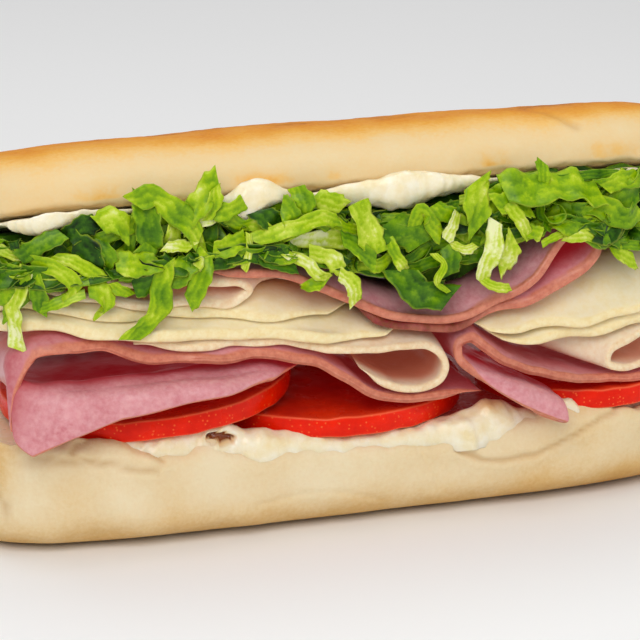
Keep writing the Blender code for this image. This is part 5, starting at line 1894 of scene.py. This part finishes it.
# Strips at the front, from left to right in each part of the heap
SHOWN_STRANDS = [
    Strand(((-51.0, 74.5), (-47.5, 76.0), (-43.5, 73.0), (-40.0, 70.0), (-37.5, 65.5)), 6.0, 0.62, 3.0),
    Strand(((-48.0, 75.0), (-48.0, 70.0), (-48.5, 64.5)), 7.0, 0.40, 1.8),
    Strand(((-58.0, 70.5), (-55.0, 71.0), (-52.0, 68.5)), 6.5, 0.66, 2.8),
    Strand(((-55.0, 62.5), (-50.5, 61.5), (-46.0, 62.0)), 6.0, 0.68, 3.4),
    Strand(((-40.5, 69.5), (-36.5, 74.0), (-33.0, 78.5)), 6.0, 0.68, 1.8),
    Strand(((-36.0, 69.5), (-34.5, 73.0), (-34.0, 76.5)), 4.0, 0.76, 2.4),
    Strand(((-35.5, 71.0), (-31.0, 71.5), (-27.5, 73.0)), 4.5, 0.64, 2.0),
    Strand(((-36.0, 63.0), (-37.5, 57.5), (-40.0, 52.5)), 5.0, 0.60, 3.6),
    Strand(((-45.0, 61.0), (-46.0, 55.5), (-47.0, 51.0), (-52.5, 45.5)), 5.4, 0.60, 3.6),
    Strand(((-34.5, 63.5), (-31.0, 64.0), (-27.5, 65.0)), 5.0, 0.64, 3.2),
    Strand(((-27.0, 66.5), (-27.0, 62.5), (-28.0, 58.5)), 2.2, 0.80, 3.6),
    Strand(((-26.0, 64.5), (-16.0, 67.0), (-11.0, 68.5), (-7.0, 67.5)), 4.2, 0.68, 3.4),
    Strand(((-12.0, 72.5), (-9.0, 71.5), (-5.5, 70.0)), 5.0, 0.80, 2.0),
    Strand(((-16.0, 75.0), (-14.5, 72.0), (-15.0, 69.0)), 5.0, 0.60, 2.2),
    Strand(((-19.0, 71.5), (-17.5, 69.0), (-17.0, 66.5)), 5.0, 0.48, 1.8),
    Strand(((-24.0, 70.5), (-22.0, 68.5), (-20.0, 66.0)), 6.0, 0.14, 1.2),
    Strand(((-3.0, 71.0), (-1.5, 66.5), (0.0, 62.5), (1.5, 59.5)), 6.8, 0.76, 3.2, ruffle=0.06),
    Strand(((-6.5, 63.5), (-3.0, 61.0), (1.0, 57.5)), 4.5, 0.54, 3.8),
    Strand(((-19.0, 61.5), (-14.5, 59.0), (-12.0, 56.5), (-9.5, 55.0)), 3.0, 0.80, 3.8),
    Strand(((-13.5, 61.0), (-9.0, 59.5), (-6.5, 56.5)), 4.4, 0.80, 3.4),
    Strand(((-7.0, 56.0), (-4.5, 53.5), (-3.5, 49.0)), 4.0, 0.86, 4.0),
    Strand(((-14.0, 55.0), (-12.0, 54.5), (-9.5, 54.5)), 4.5, 0.62, 3.4),
    Strand(((-25.0, 61.0), (-21.0, 59.5), (-16.5, 58.0)), 4.0, 0.28, 2.8),
    Strand(((-25.0, 64.0), (-21.5, 62.5), (-19.0, 62.5)), 4.0, 0.50, 2.6),
    Strand(((4.0, 65.0), (8.5, 63.5), (13.5, 61.0)), 9.5, 0.42, 1.6),
    Strand(((10.0, 64.5), (11.5, 67.5), (13.5, 65.0), (16.0, 61.5)), 4.0, 0.56, 3.0),
    Strand(((4.0, 62.5), (6.0, 58.0), (8.0, 55.0)), 3.0, 0.72, 3.4),
    Strand(((6.5, 55.5), (9.5, 51.5), (13.5, 49.0), (18.0, 48.0)), 8.5, 0.32, 3.6),
    Strand(((24.0, 73.5), (23.5, 70.5), (24.0, 66.5), (24.5, 63.0)), 7.5, 0.66, 3.0),
    Strand(((19.5, 67.0), (18.0, 63.5), (17.0, 61.0)), 3.4, 0.88, 3.4),
    Strand(((14.5, 68.5), (16.5, 67.0), (19.0, 65.5)), 4.5, 0.50, 2.2),
    Strand(((18.0, 60.0), (21.0, 59.0), (23.5, 59.5)), 2.5, 0.78, 3.6),
    Strand(((28.0, 64.5), (27.5, 59.0), (25.5, 54.5), (25.0, 51.0)), 4.6, 0.92, 4.0, ruffle=0.05),
    Strand(((31.0, 68.0), (33.5, 64.0), (36.0, 59.5)), 3.5, 0.78, 3.8),
    Strand(((28.0, 68.0), (32.5, 67.5), (36.5, 66.0)), 5.5, 0.62, 2.8),
    Strand(((32.5, 60.0), (31.0, 57.0), (29.0, 54.5)), 6.5, 0.84, 3.4),
    Strand(((34.5, 61.5), (37.0, 61.0), (39.0, 60.0)), 4.0, 0.68, 3.0),
    Strand(((24.5, 52.0), (28.0, 50.0), (31.5, 49.5)), 2.6, 0.82, 4.0),
    Strand(((14.0, 58.5), (16.0, 56.0), (14.5, 52.5), (17.5, 49.5)), 1.8, 0.72, 4.4),
    Strand(((17.5, 59.5), (18.0, 56.0), (18.0, 53.0)), 5.0, 0.44, 2.8),
    Strand(((30.0, 71.0), (36.5, 70.5), (44.5, 70.0), (52.5, 68.0)), 9.5, 0.60, 2.6, -0.35, 0.22),
    Strand(((39.5, 71.0), (39.5, 73.5), (39.5, 76.0)), 3.4, 0.66, 2.0),
    Strand(((39.0, 66.5), (39.5, 64.0), (41.5, 63.0), (43.5, 64.5), (43.0, 66.5), (40.5, 67.5)),
           3.6, 0.42, 2.4, 1.3),
    Strand(((49.0, 65.5), (53.5, 64.5), (58.5, 62.0), (62.0, 63.5)), 6.0, 0.54, 3.2),
    Strand(((55.0, 66.0), (58.5, 67.0), (62.0, 68.5)), 8.0, 0.50, 2.2),
    Strand(((53.0, 69.5), (57.5, 70.5), (62.0, 71.0)), 5.0, 0.60, 3.0),
    Strand(((50.0, 60.5), (54.0, 59.5), (57.5, 57.5)), 7.0, 0.42, 2.4),
    Strand(((44.0, 59.5), (49.5, 59.0), (54.5, 56.0)), 3.4, 0.74, 3.8),
    Strand(((55.0, 55.5), (58.0, 53.5), (61.0, 52.0)), 4.5, 0.64, 3.6),
    Strand(((39.0, 58.0), (41.5, 59.5), (44.0, 60.0)), 2.0, 0.62, 3.6),
    Strand(((-71.5, 61.5), (-73.0, 55.0), (-77.0, 50.0), (-79.5, 44.0)), 4.5, 0.86, 3.8),
    Strand(((-71.0, 63.0), (-67.0, 62.0), (-63.5, 58.5), (-64.0, 55.0)), 4.0, 0.64, 3.6),
    Strand(((-70.5, 61.0), (-69.5, 56.5), (-69.5, 52.0)), 4.4, 0.50, 3.2),
    Strand(((-69.5, 53.0), (-65.5, 54.5), (-61.0, 56.0)), 3.0, 0.60, 3.2),
    Strand(((-60.5, 57.5), (-57.5, 55.0), (-57.5, 51.5)), 5.0, 0.62, 3.6),
    Strand(((-67.0, 64.0), (-62.5, 62.5), (-57.5, 59.0)), 3.4, 0.76, 3.2),
    Strand(((-64.0, 67.5), (-61.0, 70.0), (-58.5, 71.0)), 5.5, 0.10, 1.4),
    Strand(((-63.0, 66.5), (-60.0, 63.5), (-59.0, 59.5)), 7.0, 0.20, 1.8),
    Strand(((-57.5, 67.0), (-56.5, 64.0), (-57.0, 61.5)), 4.0, 0.50, 2.8),
    Strand(((-73.0, 63.5), (-69.0, 66.5), (-65.0, 68.5)), 4.5, 0.45, 2.4),
    Strand(((-78.0, 65.5), (-75.5, 67.0), (-73.0, 65.5)), 3.0, 0.12, 2.6),
    Strand(((-45.0, 65.0), (-42.0, 65.0), (-39.0, 64.5)), 3.0, 0.80, 3.6),
    Strand(((-39.5, 62.5), (-42.0, 59.0), (-44.5, 56.0)), 6.5, 0.48, 2.6),
    Strand(((-51.5, 57.0), (-48.0, 57.5), (-45.0, 59.0)), 6.0, 0.33, 2.4),
    Strand(((-56.0, 58.0), (-54.0, 56.5), (-52.0, 55.0)), 3.0, 0.62, 3.2),
    Strand(((-78.5, 61.0), (-78.0, 56.5), (-79.5, 52.0)), 7.0, 0.60, 2.4),
]


@dataclass
class Studio:
    """Pale floor, soft lights and the camera."""

    azimuth: float = -18.5
    elevation: float = 17.0
    distance: float = 0.72
    target: tuple[float, float, float] = (-0.005, -0.020, 0.043)
    lens: float = 186.3

    def camera(self) -> None:
        """Camera at the viewing angle of the photograph."""
        data = bpy.data.cameras.new("camera")
        data.lens = self.lens
        data.sensor_width = 36.0
        camera = bpy.data.objects.new("camera", data)
        bpy.context.scene.collection.objects.link(camera)
        a, e = math.radians(self.azimuth), math.radians(self.elevation)
        back = Vector((math.sin(a) * math.cos(e), -math.cos(a) * math.cos(e), math.sin(e)))
        camera.location = Vector(self.target) + back * self.distance
        camera.rotation_euler = back.to_track_quat("Z", "Y").to_euler()
        bpy.context.scene.camera = camera

    def light(self, name: str, place: tuple[float, float, float], size: float, power: float) -> None:
        """Square soft light that points at the sandwich.

        Args:
            name: Its name.
            place: Where it stands.
            size: Its width.
            power: Its power in watts.
        """
        data = bpy.data.lights.new(name, "AREA")
        data.size = size
        data.energy = power
        obj = bpy.data.objects.new(name, data)
        bpy.context.scene.collection.objects.link(obj)
        obj.location = place
        obj.rotation_euler = (Vector(place) - Vector(self.target)).to_track_quat("Z", "Y").to_euler()

    def floor(self) -> None:
        """Plain pale floor with a faint change of tone."""
        mesh = bpy.data.meshes.new("floor")
        half = 3.0
        mesh.from_pydata([(-half, -half, 0.0), (half, -half, 0.0), (half, half, 0.0), (-half, half, 0.0)],
                         [], [(0, 1, 2, 3)])
        material = bpy.data.materials.new("pale_floor")
        material.use_nodes = True
        wires = Wiring(material.node_tree)
        shader = material.node_tree.nodes["Principled BSDF"]
        cloud = wires.noise(wires.millimetres(), 0.004, 2.0)
        wires.feed(shader.inputs["Base Color"], wires.blend(cloud, paint("F4F4F4"), paint("F8F8F8")))
        shader.inputs["Roughness"].default_value = 0.9
        mesh.materials.append(material)
        obj = bpy.data.objects.new("floor", mesh)
        bpy.context.scene.collection.objects.link(obj)

    def build(self) -> None:
        """Set up the whole studio."""
        self.camera()
        self.floor()
        self.light("key_light", (-0.35, -0.75, 0.75), 0.7, 5.6)
        self.light("fill_light", (0.75, -0.55, 0.35), 0.7, 1.0)
        self.light("top_light", (0.0, 0.25, 0.95), 0.8, 3.0)
        world = bpy.data.worlds.new("soft_room")
        world.use_nodes = True
        world.node_tree.nodes["Background"].inputs["Color"].default_value = (1.0, 1.0, 1.0, 1.0)
        world.node_tree.nodes["Background"].inputs["Strength"].default_value = 0.42
        bpy.context.scene.world = world
        bpy.context.scene.view_settings.view_transform = "Standard"


def main() -> None:
    """Build the studio and then the sandwich, from the base up."""
    logging.basicConfig(level=logging.INFO, format="%(message)s")
    Studio().build()
    finishes = Finishes()
    LowerHalf("bread_bottom", "crumb").build(finishes)
    UpperHalf("bread_top", "crust").build(finishes)
    LowerSpread("mayo_bottom").build(finishes)
    UpperSpread("mayo_top").build(finishes)
    for tomato in (TomatoSlice("tomato_left", (-40.0, -3.5), TOMATO_RADIUS, 19.6, 0.080, 81),
                   TomatoSlice("tomato_middle", (0.0, -3.5), TOMATO_RADIUS, 17.9, 0.0, 83),
                   TomatoSlice("tomato_right", (58.5, -11.5), 22.5, 17.5, 0.0, 85)):
        tomato.build(finishes)
    for folded in folded_slices():
        folded.build(finishes)
    Lettuce(shown=SHOWN_STRANDS).build(finishes)


if __name__ == "__main__":
    main()
